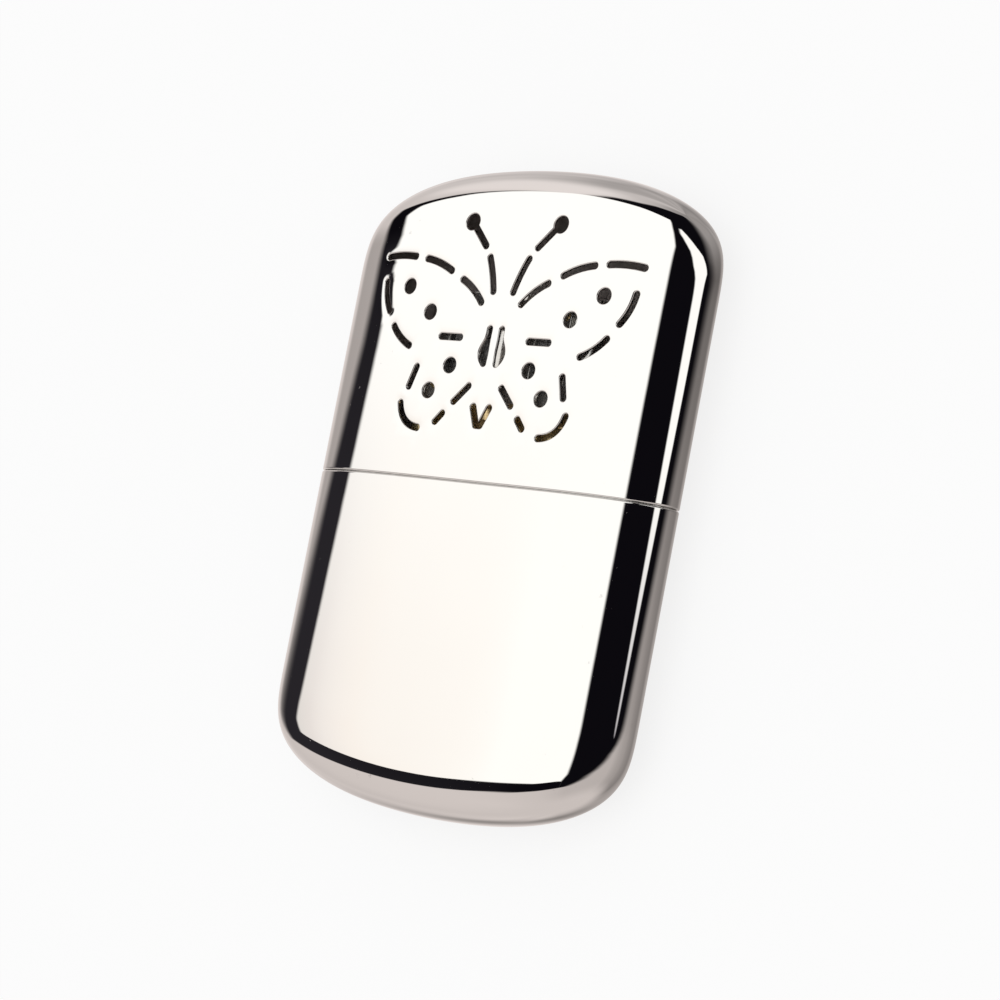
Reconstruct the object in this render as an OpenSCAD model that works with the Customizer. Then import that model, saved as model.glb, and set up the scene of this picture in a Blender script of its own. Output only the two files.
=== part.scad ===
// Pocket catalytic hand warmer lying on its back.
// +Y runs along the case towards the top of the cap, +Z comes out of the pierced
// front, and the origin lies on the flat strip of the back, under the middle of
// the case. Every sub-part is drawn about the case's middle plane with Y counted
// from the seam, and placed() then moves it into the part's frame.

/* [Case] */
// Width of the case
case_w = 70; // [64:0.5:76]
// Thickness of the case
case_t = 12.8; // [12.4:0.1:15]
// Length of the tank, from its domed end to the seam
tank_length = 50.3; // [47:0.1:58]
// Length of the cap, from the seam to its domed end
cap_length = 49.7; // [47:0.1:58]
// Thickness of the drawn sheet of tank and cap
case_wall = 0.45; // [0.35:0.05:0.6]
// Half width of the flat strip down the middle of front and back
flat_half = 6; // [3:0.5:9]
// Fullness of the section across the width
section_n = 3.2; // [2.6:0.1:3.6]
// Fullness of the section across the thickness
section_k = 2.15; // [2:0.05:2.4]
// Fullness of the profile over the domed end
end_m = 4.6; // [3.6:0.1:5.4]
// Depth over which a domed end rolls over
end_depth = 15; // [11:0.5:19]
// Radius of the arc of a domed end, seen from the front
end_radius = 118; // [95:1:160]
// Gap between the lips of tank and cap at the seam
seam_gap = 0.1; // [0.05:0.05:0.2]
// Break of the outer edge of both lips
lip_break = 0.12; // [0.08:0.02:0.2]

/* [Vents] */
// Width of the pierced slots
slot_w = 0.98; // [0.7:0.02:1.2]
// Diameter of the pierced dots
dot_d = 2.4; // [1.8:0.1:3]
// Diameter of the balls of the antennae
antenna_ball_d = 2.64; // [2:0.02:3.2]
// Height of the butterfly's lowest point above the seam
figure_rise = 7.5; // [6.5:0.1:8.5]

/* [Tank fittings] */
// Height of the collar above the seam
collar_rise = 7; // [6:0.1:8]
// Depth of the collar inside the tank
collar_depth = 6; // [4:0.5:9]
// Thickness of the collar's sheet
collar_wall = 0.45; // [0.3:0.05:0.5]
// Sliding clearance round the collar
slide_clearance = 0.06; // [0.04:0.01:0.08]
// Clearance of pieces soldered or pressed into each other
seat_clearance = 0.04; // [0.02:0.01:0.06]
// Clearance of the soft fillings
soft_clearance = 0.3; // [0.2:0.05:0.4]
// Thickness of the shoulder plate
shoulder_t = 0.6; // [0.4:0.1:0.8]
// Width of the filler neck
neck_w = 34; // [30:0.5:36]
// Thickness of the filler neck
neck_t = 8.4; // [7.8:0.1:8.8]
// Wall of the filler neck
neck_wall = 0.5; // [0.4:0.05:0.6]
// Height of the neck above the shoulder
neck_rise = 4.6; // [4:0.1:5.4]
// Depth of the neck below the shoulder's top face
neck_drop = 2.4; // [1.8:0.1:3]
// Width of the neck's flange beyond its wall
flange_lip = 1; // [0.6:0.1:1]
// Thickness of the neck's flange and of the grid across the neck
strip_t = 0.45; // [0.3:0.05:0.6]
// Depth of the grid below the neck's mouth
grid_depth = 0.5; // [0.3:0.1:0.8]
// Windows in the grid across the neck
grid_windows = 4; // [2:1:5]
// Distance from the seam down to the joint between the two cotton batts
batt_joint = 26; // [20:1:30]

/* [Burner] */
// Thickness of the burner's sheet
burner_sheet = 0.4; // [0.3:0.05:0.45]
// Gap between the burner's skirt and the shoulder
skirt_gap = 0.3; // [0.2:0.1:0.5]
// Gap between the neck's mouth and the burner's floor
floor_gap = 0.6; // [0.4:0.1:1]
// Height of the burner's walls above its floor
grille_h = 17; // [15:0.5:19]
// Height of the windows' lower edge above the floor
window_foot = 2.4; // [1.6:0.2:3]
// Height of the windows
window_h = 9; // [7:0.5:10]
// Width of the middle bar between the windows
middle_bar = 3; // [2:0.2:4]
// Width of the side bar between two windows
side_bar = 1.2; // [0.8:0.1:1.6]
// Width of the flange on each end channel
channel_flange = 2; // [1.8:0.1:2.4]
// Diameter of the rivets
rivet_d = 1; // [0.8:0.1:1.2]
// Diameter of the rivets' outer heads
rivet_head_d = 1.6; // [1.4:0.1:1.8]
// Height of the rivets' outer heads
rivet_head_h = 0.3; // [0.2:0.05:0.4]
// Diameter of the holes in the burner's floor
vapour_hole_d = 2.2; // [1.6:0.1:2.6]
// Holes in the burner's floor
vapour_holes = 7; // [5:2:9]
// Thickness of the gauze round the catalyst
gauze_t = 0.25; // [0.2:0.05:0.3]
// Thickness of each leaf of the catalyst mat
mat_leaf = 3; // [2.4:0.1:3.1]
// Depth of the gauze's top below the upper edge of the burner's walls
gauze_drop = 1; // [0.6:0.1:1.6]

/* [Smoothness] */
// Steps in each quarter of the section
quarter_steps = 12; // [8:1:14]
// Steps over a domed end
end_steps = 9; // [6:1:11]
// Steps across the flat strip
strip_steps = 4; // [2:2:6]

/* [Hidden] */

$fn = 48;
CHROME = [0.80, 0.79, 0.77];
BRASS = [0.78, 0.62, 0.34];
NICKEL = [0.70, 0.69, 0.66];
FELT = [0.88, 0.87, 0.83];
COTTON = [0.93, 0.92, 0.89];
MAT = [0.42, 0.41, 0.40];

half_w = case_w / 2;
half_t = case_t / 2;
// Height of the seam above the middle of the case
seam_y = (tank_length - cap_length) / 2;

// Insets from the case's outer surface
slide_inset = case_wall + slide_clearance;
collar_inner_inset = slide_inset + collar_wall;

// Stack of the fittings, counted from the seam
shoulder_under = collar_rise - shoulder_t;
neck_foot = collar_rise - neck_drop;
neck_top = collar_rise + neck_rise;
grid_top = neck_top - grid_depth;
skirt_foot = collar_rise + skirt_gap;
floor_foot = neck_top + floor_gap;
floor_top = floor_foot + burner_sheet;
burner_top = floor_top + grille_h;

// Sections of neck and burner, all rounded slots about the middle plane
neck_inner_w = neck_w - 2 * neck_wall;
neck_inner_t = neck_t - 2 * neck_wall;
skirt_inner_w = neck_w + 2 * slide_clearance;
skirt_inner_t = neck_t + 2 * slide_clearance;
burner_w = skirt_inner_w + 2 * burner_sheet;
burner_t = skirt_inner_t + 2 * burner_sheet;
burner_r = burner_t / 2;
// Half length of the burner's flat walls, where its round ends start
burner_flat = (burner_w - burner_t) / 2;
// Inner face of the grilles and of the flanges behind them
grille_inner = burner_r - burner_sheet;
flange_inner = grille_inner - burner_sheet;

// Rivets, two up each edge of each grille
rivet_x = burner_flat - channel_flange / 2;
rivet_ys = [floor_top + window_foot, floor_top + window_foot + window_h + 2.6];
rivet_tail_h = 0.1;
rivet_tail_d = rivet_head_d - 0.3;
rivet_play = 0.02;

// Gauze and mat between the flanges
gauze_outer = flange_inner - 2 * rivet_tail_h;
gauze_half_w = burner_flat + 1.6;
gauze_foot = floor_top + 0.1;
gauze_top = burner_top - gauze_drop;
mat_outer = gauze_outer - gauze_t - 0.1;
mat_half_w = gauze_half_w - 0.2;
mat_foot = gauze_foot + 0.2;
mat_top = gauze_top - gauze_t - 0.1;
// The two leaves nearly meet in the middle
mat_slit = max(0.1, 2 * (mat_outer - mat_leaf));

// Butterfly, right half, each point as [distance from the middle, height above
// the figure's lowest point]. A slot is [start, end, rise of its bow].
ANTENNA_BALL = [8.8, 32.6];
ANTENNA_FOOT = [5.2, 28.9];
WING_SLOTS = [
    [[2.0, 21.9], [3.9, 27.1], 0.15],
    [[4.0, 20.1], [8.5, 23.5], 0.3],
    [[11.2, 24.8], [16.7, 26.55], 0.25],
    [[19.4, 26.85], [25.5, 26.7], 0.2],
    [[24.95, 22.7], [23.05, 18.1], 0.35],
    [[21.3, 15.7], [17.15, 12.75], 0.3],
    [[14.6, 9.5], [15.5, 6.4], 0],
    [[16.55, 3.7], [12.15, 0.1], 1],
    [[8.7, 1.3], [7.55, 2.6], 0],
    [[5.7, 4.6], [3.3, 7.1], 0],
    [[6.9, 14.5], [10.7, 14.5], 0]
];
WING_DOTS = [[19.4, 22.1], [14, 18.2], [7.9, 10.1], [11.3, 6]];
// The body's two halves, each a chain of circles [centre, radius] from its foot
// over its belly up its narrow stem
BODY_HALF = [
    [[1.25, 10.75], 0.47], [[1.45, 11.25], 0.67], [[1.6, 11.8], 0.86], [[1.66, 12.45], 0.93],
    [[1.56, 13.2], 0.8], [[1.38, 14.0], 0.6], [[1.25, 14.8], 0.47], [[1.2, 16.1], 0.45]
];
// The tail: a V with a rounded foot, its legs as wide as a slot times its share
TAIL_TIP = [1.58, 3.95];
TAIL_FOOT = [0.4, 1.3];
TAIL_SHARE = 1.1;
slot_fn = 16;
bow_steps = 4;

// ---- Shape of the case ----------------------------------------------------

// Unit section, once round from the right flank over the front. Each entry is
// [place across the flat strip, place across the flank, height].
function flank(u, side, face) =
    [side, side * pow(cos(u), 2 / section_n), face * pow(sin(u), 2 / section_k)];
QUARTER = [for (i = [0:quarter_steps]) 90 * i / quarter_steps];
STRIP = [for (i = [1:strip_steps - 1]) 1 - 2 * i / strip_steps];
UNIT_SECTION = concat(
    [for (u = QUARTER) flank(u, 1, 1)],
    [for (t = STRIP) [t, 0, 1]],
    [for (u = QUARTER) flank(90 - u, -1, 1)],
    [for (i = [1:quarter_steps]) flank(QUARTER[i], -1, -1)],
    [for (t = STRIP) [-t, 0, -1]],
    [for (i = [0:quarter_steps - 1]) flank(90 - QUARTER[i], 1, -1)]
);
ring_n = len(UNIT_SECTION);

// How far the section has shrunk at the place e on the domed end: 0 where the
// end starts, 1 at its tip.
function shrink_x(e) = pow(1 - pow(e, end_m), 1 / section_n);
function shrink_z(e) = pow(1 - pow(e, end_m), 1 / section_k);

// Width and height of one section point on the surface that lies inset inside
// the case's outer surface
function section_x(p, e, inset) = p.x * flat_half + p.y * (half_w - inset - flat_half) * shrink_x(e);
function section_z(p, e, inset) = p.z * (half_t - inset) * shrink_z(e);

// Arc over the domed end of a shell of the given length
function arc_y(x, e, inset, length) =
    length - end_radius + sqrt(pow(end_radius - inset - (end_depth - inset) * (1 - e), 2) - x * x);

function level_ring(y, inset) = [for (p = UNIT_SECTION) [section_x(p, 0, inset), y, section_z(p, 0, inset)]];
function domed_ring(e, inset, length) =
    [for (p = UNIT_SECTION) let (x = section_x(p, e, inset)) [x, arc_y(x, e, inset, length), section_z(p, e, inset)]];
END_PLACES = [for (j = [0:end_steps - 1]) pow(sin(90 * j / end_steps), 2 / end_m)];
function domed_rings(inset, length) = [for (e = END_PLACES) each domed_ring(e, inset, length)];

// Short ridge that closes a domed end, and the ridge point above ring point i
function ridge(inset, length) =
    [for (s = [0:strip_steps]) let (x = flat_half * (1 - 2 * s / strip_steps)) [x, arc_y(x, 1, inset, length), 0]];
function ridge_place(i) = round((1 - UNIT_SECTION[i].x) / 2 * strip_steps);
function next(i) = (i + 1) % ring_n;

// Triangles of a band between the rings that start at points a and b, and of
// the cap between the ring at a and the ridge at r
function band(a, b) = [for (i = [0:ring_n - 1]) each [[a + i, b + i, b + next(i)], [a + i, b + next(i), a + next(i)]]];
function bands(first, count) = [for (j = [0:count - 2]) each band(first + j * ring_n, first + (j + 1) * ring_n)];
function crown(a, r) = [
    for (i = [0:ring_n - 1])
        let (p = r + ridge_place(i), q = r + ridge_place(next(i)))
        each (p == q ? [[a + i, p, a + next(i)]] : [[a + i, p, q], [a + i, q, a + next(i)]])
];
function flipped(faces) = [for (f = faces) [f[2], f[1], f[0]]];
function ringed(start) = [for (i = [0:ring_n - 1]) start + i];

// Open cup: drawn sheet from the lip at foot to the domed end
module cup(length, foot) {
    outer = concat(level_ring(foot, lip_break), level_ring(foot + lip_break, 0), domed_rings(0, length), ridge(0, length));
    inner = concat(level_ring(foot, case_wall), domed_rings(case_wall, length), ridge(case_wall, length));
    outer_rings = end_steps + 2;
    inner_rings = end_steps + 1;
    inner_start = len(outer);
    faces = concat(
        bands(0, outer_rings),
        crown((outer_rings - 1) * ring_n, outer_rings * ring_n),
        flipped(bands(inner_start, inner_rings)),
        flipped(crown(inner_start + (inner_rings - 1) * ring_n, inner_start + inner_rings * ring_n)),
        flipped(band(0, inner_start))
    );
    polyhedron(points = concat(outer, inner), faces = faces, convexity = 6);
}

// Solid of the same form, inset inside the case, from the level foot up
module filling(length, foot, inset) {
    points = concat(level_ring(foot, inset), domed_rings(inset, length), ridge(inset, length));
    rings = end_steps + 1;
    faces = concat([ringed(0)], bands(0, rings), crown((rings - 1) * ring_n, rings * ring_n));
    polyhedron(points = points, faces = faces, convexity = 4);
}

// ---- Helpers --------------------------------------------------------------

module placed() {
    translate([0, seam_y, half_t]) children();
}

// Extrusion of a flat outline (width, thickness) along the case from y = foot
module along(foot, height) {
    translate([0, foot, 0]) rotate([-90, 0, 0]) linear_extrude(height = height) children();
}

// Extrusion of a front-view outline (width, place along the case) towards the
// front, from z = low to z = high
module upright(low, high) {
    translate([0, 0, low]) linear_extrude(height = high - low) children();
}

module case_outline(inset) {
    polygon([for (p = UNIT_SECTION) [section_x(p, 0, inset), section_z(p, 0, inset)]]);
}

module rounded_slot(w, t) {
    square([w - t, t], center = true);
    for (side = [-1, 1]) translate([side * (w - t) / 2, 0]) circle(d = t);
}

// ---- Vents ----------------------------------------------------------------

function bow_point(start, end, bow, t) =
    let (along = end - start, across = [-along.y, along.x] / norm(along))
    start + along * t + across * bow * 4 * t * (1 - t);

module link(a, b, d) {
    hull() {
        translate(a) circle(d = d, $fn = slot_fn);
        translate(b) circle(d = d, $fn = slot_fn);
    }
}

module chain(circles) {
    for (i = [0:len(circles) - 2]) hull() {
        for (c = [circles[i], circles[i + 1]]) translate(c[0]) circle(r = c[1], $fn = slot_fn);
    }
}

module slot(start, end, bow) {
    steps = bow == 0 ? 1 : bow_steps;
    for (i = [0:steps - 1])
        link(bow_point(start, end, bow, i / steps), bow_point(start, end, bow, (i + 1) / steps), slot_w);
}

module half_figure() {
    translate(ANTENNA_BALL) circle(d = antenna_ball_d, $fn = slot_fn);
    link(ANTENNA_BALL, ANTENNA_FOOT, slot_w);
    for (s = WING_SLOTS) slot(s[0], s[1], s[2]);
    for (p = WING_DOTS) translate(p) circle(d = dot_d, $fn = slot_fn);
    chain(BODY_HALF);
    link(TAIL_TIP, TAIL_FOOT, slot_w * TAIL_SHARE);
    link(TAIL_FOOT, [0, TAIL_FOOT.y], slot_w * TAIL_SHARE);
}

module butterfly() {
    translate([0, figure_rise]) {
        half_figure();
        mirror([1, 0]) half_figure();
    }
}

// ---- Tank -----------------------------------------------------------------

module tank_shell() {
    color(CHROME) placed() mirror([0, 1, 0]) cup(tank_length, 0);
}

module tank_collar() {
    color(CHROME) placed() along(-collar_depth, collar_depth + collar_rise) difference() {
        case_outline(slide_inset);
        case_outline(collar_inner_inset);
    }
}

module shoulder_plate() {
    color(NICKEL) placed() along(shoulder_under, shoulder_t) difference() {
        case_outline(collar_inner_inset + seat_clearance);
        rounded_slot(neck_w + 2 * seat_clearance, neck_t + 2 * seat_clearance);
    }
}

module filler_neck() {
    color(BRASS) placed() {
        along(neck_foot, neck_drop + neck_rise) difference() {
            rounded_slot(neck_w, neck_t);
            rounded_slot(neck_inner_w, neck_inner_t);
        }
        along(shoulder_under - strip_t, strip_t) difference() {
            rounded_slot(neck_w + 2 * flange_lip, neck_t + 2 * flange_lip);
            rounded_slot(neck_inner_w, neck_inner_t);
        }
    }
}

module neck_grid() {
    grid_w = neck_inner_w - 2 * seat_clearance;
    grid_t = neck_inner_t - 2 * seat_clearance;
    rim = 0.8;
    pitch = (grid_w - rim) / grid_windows;
    color(NICKEL) placed() along(grid_top - strip_t, strip_t) difference() {
        rounded_slot(grid_w, grid_t);
        for (i = [0:grid_windows - 1])
            translate([(i - (grid_windows - 1) / 2) * pitch, 0])
                rounded_slot(pitch - rim, min(grid_t - 2 * rim, pitch - rim));
    }
}

module felt_plug() {
    felt_gap = 2 * seat_clearance;
    color(FELT) placed() along(neck_foot, grid_top - strip_t - neck_foot)
        rounded_slot(neck_inner_w - felt_gap, neck_inner_t - felt_gap);
}

module cotton_upper() {
    top = neck_foot - soft_clearance;
    foot = soft_clearance / 2 - batt_joint;
    color(COTTON) placed() along(foot, top - foot) case_outline(collar_inner_inset + soft_clearance);
}

module cotton_lower() {
    color(COTTON) placed() mirror([0, 1, 0])
        filling(tank_length, batt_joint + soft_clearance / 2, case_wall + soft_clearance);
}

// ---- Burner ---------------------------------------------------------------

module burner_skirt() {
    color(BRASS) placed() along(skirt_foot, floor_foot - skirt_foot) difference() {
        rounded_slot(burner_w, burner_t);
        rounded_slot(skirt_inner_w, skirt_inner_t);
    }
}

module vapour_plate() {
    pitch = 2 * burner_flat / (vapour_holes - 1);
    color(BRASS) placed() along(floor_foot, burner_sheet) difference() {
        rounded_slot(burner_w, burner_t);
        for (i = [0:vapour_holes - 1])
            translate([(i - (vapour_holes - 1) / 2) * pitch, 0]) circle(d = vapour_hole_d);
    }
}

module rivet_places() {
    for (side = [-1, 1], y = rivet_ys) translate([side * rivet_x, y]) children();
}

module grille() {
    inner_edge = middle_bar / 2;
    outer_edge = burner_flat - channel_flange - 0.3;
    window_w = (outer_edge - inner_edge - side_bar) / 2;
    upright(grille_inner, burner_r) difference() {
        translate([-burner_flat, floor_top]) square([2 * burner_flat, grille_h]);
        for (side = [-1, 1], i = [0, 1])
            translate([side * (inner_edge + window_w / 2 + i * (window_w + side_bar)), floor_top + window_foot + window_h / 2])
                rotate(90) rounded_slot(window_h, window_w);
        rivet_places() circle(d = rivet_d + 2 * rivet_play);
    }
}

module front_grille() {
    color(NICKEL) placed() grille();
}

module back_grille() {
    color(NICKEL) placed() mirror([0, 0, 1]) grille();
}

// Half-round end wall with two joggled flanges behind the grilles
module end_channel() {
    joggle = 1;
    difference() {
        union() {
            along(floor_top, grille_h) difference() {
                translate([burner_flat, 0]) circle(r = burner_r);
                translate([burner_flat, 0]) circle(r = grille_inner);
                translate([burner_flat - 2 * burner_r, -burner_r]) square([2 * burner_r, 2 * burner_r]);
            }
            for (face = [-1, 1])
                along(floor_top, grille_h)
                    translate([burner_flat + (joggle - channel_flange) / 2, face * (flange_inner + grille_inner) / 2])
                        square([channel_flange + joggle, burner_sheet], center = true);
        }
        for (y = rivet_ys)
            translate([rivet_x, y, 0]) cylinder(d = rivet_d + 2 * rivet_play, h = burner_t, center = true);
    }
}

module right_end_channel() {
    color(NICKEL) placed() end_channel();
}

module left_end_channel() {
    color(NICKEL) placed() mirror([1, 0, 0]) end_channel();
}

module rivet() {
    translate([0, 0, flange_inner]) cylinder(d = rivet_d, h = burner_r - flange_inner);
    translate([0, 0, burner_r]) cylinder(d = rivet_head_d, h = rivet_head_h);
    translate([0, 0, flange_inner - rivet_tail_h]) cylinder(d = rivet_tail_d, h = rivet_tail_h);
}

module burner_rivets() {
    color(BRASS) placed() for (face = [0, 1]) mirror([0, 0, face])
        rivet_places() rivet();
}

// Folded sheet over the mat: two legs and a flat top, cut across the case as a
// U upside down
module folded_sheet(outer, inner, foot, top, half_width) {
    roof = outer - inner;
    translate([-half_width, 0, 0]) rotate([90, 0, 90]) linear_extrude(height = 2 * half_width) difference() {
        translate([foot, -outer]) square([top - foot, 2 * outer]);
        translate([foot - roof, -inner]) square([top - foot, 2 * inner]);
    }
}

module gauze_liner() {
    color(NICKEL) placed() folded_sheet(gauze_outer, gauze_outer - gauze_t, gauze_foot, gauze_top, gauze_half_w);
}

module catalyst_mat() {
    color(MAT) placed() folded_sheet(mat_outer, mat_slit / 2, mat_foot, mat_top, mat_half_w);
}

// ---- Cap ------------------------------------------------------------------

module cap_shell() {
    color(CHROME) placed() difference() {
        cup(cap_length, seam_gap);
        upright(0, case_t) butterfly();
    }
}

tank_shell();
tank_collar();
shoulder_plate();
filler_neck();
neck_grid();
felt_plug();
cotton_upper();
cotton_lower();
burner_skirt();
vapour_plate();
front_grille();
back_grille();
left_end_channel();
right_end_channel();
burner_rivets();
gauze_liner();
catalyst_mat();
cap_shell();
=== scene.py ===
"""Pocket catalytic hand warmer: a flat oval chromed case in two halves, lying on its back.

The frame is the packed model's: +Z comes out of the pierced front, +Y runs along the case
towards the top of the cap, and the origin lies under the middle of the case. Every form is
worked out about the case's middle plane with Y counted from the seam; placed() then moves it
into the frame.
"""

import bpy
import numpy as np
from mathutils import Matrix, Vector
from mathutils.geometry import delaunay_2d_cdt


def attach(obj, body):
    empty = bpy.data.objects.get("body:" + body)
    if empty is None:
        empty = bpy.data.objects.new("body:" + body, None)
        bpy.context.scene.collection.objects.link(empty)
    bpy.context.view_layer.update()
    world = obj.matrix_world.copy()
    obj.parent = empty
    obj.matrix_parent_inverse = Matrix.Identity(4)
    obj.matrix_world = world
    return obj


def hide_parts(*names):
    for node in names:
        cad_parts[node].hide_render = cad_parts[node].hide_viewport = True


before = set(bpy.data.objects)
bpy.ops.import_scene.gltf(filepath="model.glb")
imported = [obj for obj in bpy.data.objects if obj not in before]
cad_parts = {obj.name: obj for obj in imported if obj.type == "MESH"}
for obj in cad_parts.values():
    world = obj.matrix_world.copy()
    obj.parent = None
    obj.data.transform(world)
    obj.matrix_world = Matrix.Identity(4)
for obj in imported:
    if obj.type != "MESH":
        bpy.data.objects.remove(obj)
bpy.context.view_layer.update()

bl_info = {
    "name": "Catalytic hand warmer",
    "version": (1, 0, 0),
    "blender": (4, 5, 0),
    "location": "View3D > Sidebar > Hand warmer",
    "description": "Builds the case, the tank fittings and the burner of a pocket hand warmer",
    "category": "Add Mesh",
}

MM = 0.001
WELD = 1e-7  # points that fall in the same cell of this size are one
WELD_SHIFT = 0.317  # keeps round sizes off the cells' borders
TINY = 1e-15


# ---- Settings --------------------------------------------------------------------------

def size(name, description, default_mm):
    """Length property; the default is given in millimetres and kept in metres."""
    return bpy.props.FloatProperty(
        name=name, description=description, default=default_mm * MM, precision=5, unit="LENGTH")


def place(name, description, default_mm):
    """Point property; the default is given in millimetres and kept in metres."""
    return bpy.props.FloatVectorProperty(
        name=name, description=description, default=[MM * v for v in default_mm], size=3,
        precision=5, subtype="TRANSLATION", unit="LENGTH")


def number(name, description, default):
    """Plain number property."""
    return bpy.props.FloatProperty(name=name, description=description, default=default, precision=3)


def count(name, description, default):
    """Whole number property."""
    return bpy.props.IntProperty(name=name, description=description, default=default, min=1)


def colour(name, description, default):
    """Colour property."""
    return bpy.props.FloatVectorProperty(
        name=name, description=description, default=default, size=3, min=0, max=1, subtype="COLOR")


class CaseSizes(bpy.types.PropertyGroup):
    """Sizes of the two drawn halves of the case."""
    half_width: size("Half width", "Half of the case's width", 35)
    half_thickness: size("Half thickness", "Half of the case's thickness", 6.4)
    tank_length: size("Tank length", "From the seam to the tank's domed end", 50.3)
    cap_length: size("Cap length", "From the seam to the cap's domed end", 49.7)
    wall: size("Wall", "Thickness of the drawn sheet", 0.45)
    flat_half: size("Flat half width", "Half width of the flat strip down front and back", 6)
    section_n: number("Fullness across", "Exponent of the section across the width", 3.2)
    section_k: number("Fullness through", "Exponent of the section across the thickness", 2.15)
    end_m: number("Fullness of the end", "Exponent of the profile over a domed end", 4.6)
    end_depth: size("End depth", "Depth over which a domed end rolls over", 15)
    end_radius: size("End radius", "Radius of a domed end's arc, seen from the front", 118)
    seam_gap: size("Seam gap", "Gap between the lips of tank and cap", 0.1)
    lip_roll: size("Lip roll", "Radius of the rolled outer edge of both lips", 0.3)
    lip_break: size("Lip break", "Radius of the inner edge of both lips", 0.08)


class VentSizes(bpy.types.PropertyGroup):
    """Sizes of the pierced butterfly."""
    slot_half: size("Slot half width", "Half of a slot's width", 0.49)
    dot_radius: size("Dot radius", "Radius of the round holes", 1.2)
    ball_radius: size("Ball radius", "Radius of the balls of the antennae", 1.32)
    figure_rise: size("Figure rise", "Height of the figure's lowest point above the seam", 7.5)
    edge_roll: size("Edge roll", "Radius of the edge where the punch went in", 0.2)
    sink: size("Sink", "Depth to which the sheet is drawn in beside a vent", 0.05)
    sink_reach: size("Sink reach", "Distance over which the sheet is drawn in", 1.3)


class FittingSizes(bpy.types.PropertyGroup):
    """Sizes of the fittings in the tank's mouth."""
    collar_rise: size("Collar rise", "Height of the collar above the seam", 7)
    collar_depth: size("Collar depth", "Depth of the collar inside the tank", 6)
    collar_wall: size("Collar wall", "Thickness of the collar", 0.45)
    slide_clearance: size("Slide clearance", "Running clearance round collar and neck", 0.06)
    seat_clearance: size("Seat clearance", "Clearance of soldered and pressed pieces", 0.04)
    soft_clearance: size("Soft clearance", "Clearance of the soft fillings", 0.3)
    shoulder: size("Shoulder", "Thickness of the shoulder plate", 0.6)
    neck_width: size("Neck width", "Width of the filler neck", 34)
    neck_thickness: size("Neck thickness", "Thickness of the filler neck", 8.4)
    neck_wall: size("Neck wall", "Wall of the filler neck", 0.5)
    neck_rise: size("Neck rise", "Height of the neck above the shoulder", 4.6)
    neck_drop: size("Neck drop", "Depth of the neck below the shoulder's top face", 2.4)
    flange: size("Flange", "Width of the neck's flange", 1)
    strip: size("Strip", "Thickness of the flange and of the grid", 0.45)
    grid_depth: size("Grid depth", "Depth of the grid below the neck's mouth", 0.5)
    grid_rim: size("Grid rim", "Width of the bars of the grid", 0.8)
    grid_windows: count("Grid windows", "Windows in the grid across the neck", 4)
    batt_joint: size("Batt joint", "From the seam down to the joint between the batts", 26)


class BurnerSizes(bpy.types.PropertyGroup):
    """Sizes of the burner that pushes over the neck."""
    sheet: size("Sheet", "Thickness of the burner's sheet", 0.4)
    skirt_gap: size("Skirt gap", "Gap between the skirt and the shoulder", 0.3)
    floor_gap: size("Floor gap", "Gap between the neck's mouth and the burner's floor", 0.6)
    height: size("Height", "Height of the walls above the floor", 17)
    window_foot: size("Window foot", "Height of the windows' lower edge above the floor", 2.4)
    window_height: size("Window height", "Height of the windows", 9)
    middle_bar: size("Middle bar", "Width of the bar between the two pairs of windows", 3)
    side_bar: size("Side bar", "Width of the bar between the windows of a pair", 1.2)
    flange: size("Flange", "Width of the flange on each end channel", 2)
    rivet_radius: size("Rivet radius", "Radius of a rivet's head", 0.8)
    rivet_head: size("Rivet head", "Height of a rivet's head", 0.3)
    vapour_hole: size("Vapour hole", "Radius of the holes in the floor", 1.1)
    vapour_holes: count("Vapour holes", "Holes in the floor", 7)
    gauze: size("Gauze", "Thickness of the woven gauze", 0.25)
    gauze_pitch: size("Gauze pitch", "Distance from wire to wire", 0.78)
    gauze_drop: size("Gauze drop", "Depth of the gauze's top below the walls' upper edge", 1)
    mat_leaf: size("Mat leaf", "Thickness of each leaf of the catalyst mat", 3)


class Finishes(bpy.types.PropertyGroup):
    """Colours of the finishes."""
    chrome: colour("Chrome", "Mirror-polished plate of the case", (0.80, 0.79, 0.77))
    inside: colour("Inside", "Unpolished inner face of the case", (0.71, 0.645, 0.61))
    collar: colour("Collar", "Plate of the collar and shoulder", (0.74, 0.73, 0.71))
    brass: colour("Brass", "Neck and skirt", (0.78, 0.62, 0.34))
    brass_heated: colour("Heated brass", "Brass where the burner has tanned it", (0.60, 0.41, 0.22))
    nickel: colour("Nickel", "Burner walls", (0.70, 0.69, 0.66))
    nickel_heated: colour("Heated nickel", "Walls where heat has tinted them", (0.56, 0.50, 0.43))
    gauze: colour("Gauze", "Woven steel wire", (0.46, 0.45, 0.43))
    mat: colour("Mat", "Glass fibre with catalyst", (0.42, 0.41, 0.40))
    felt: colour("Felt", "Felt in the neck", (0.88, 0.87, 0.83))
    cotton: colour("Cotton", "Cotton in the tank", (0.93, 0.92, 0.89))


class StageSettings(bpy.types.PropertyGroup):
    """Camera, lamps and floor."""
    camera: place("Camera", "Camera's place", (308.434, -44.709, 357.827))
    aim: place("Aim", "Point that the camera looks at", (0.7415, -0.8824, 5.2585))
    roll: bpy.props.FloatProperty(
        name="Roll", description="Turn of the camera about its line of sight", default=0.190925,
        precision=5, subtype="ANGLE")
    lens: number("Lens", "Focal length in millimetres on a 36 mm sensor", 111.672)
    lamp: number("Lamp", "Share of the light that comes from the soft lamp", 0.28)
    fill: number("Fill", "Share of the light that comes evenly from all round", 0.72)
    floor: colour("Floor", "Pale floor", (0.95, 0.95, 0.95))


# ---- Figure of the vents ---------------------------------------------------------------
# Right half in millimetres, each point as (distance from the middle, height above the
# figure's lowest point). A slot is (start, end, rise of its bow).

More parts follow.
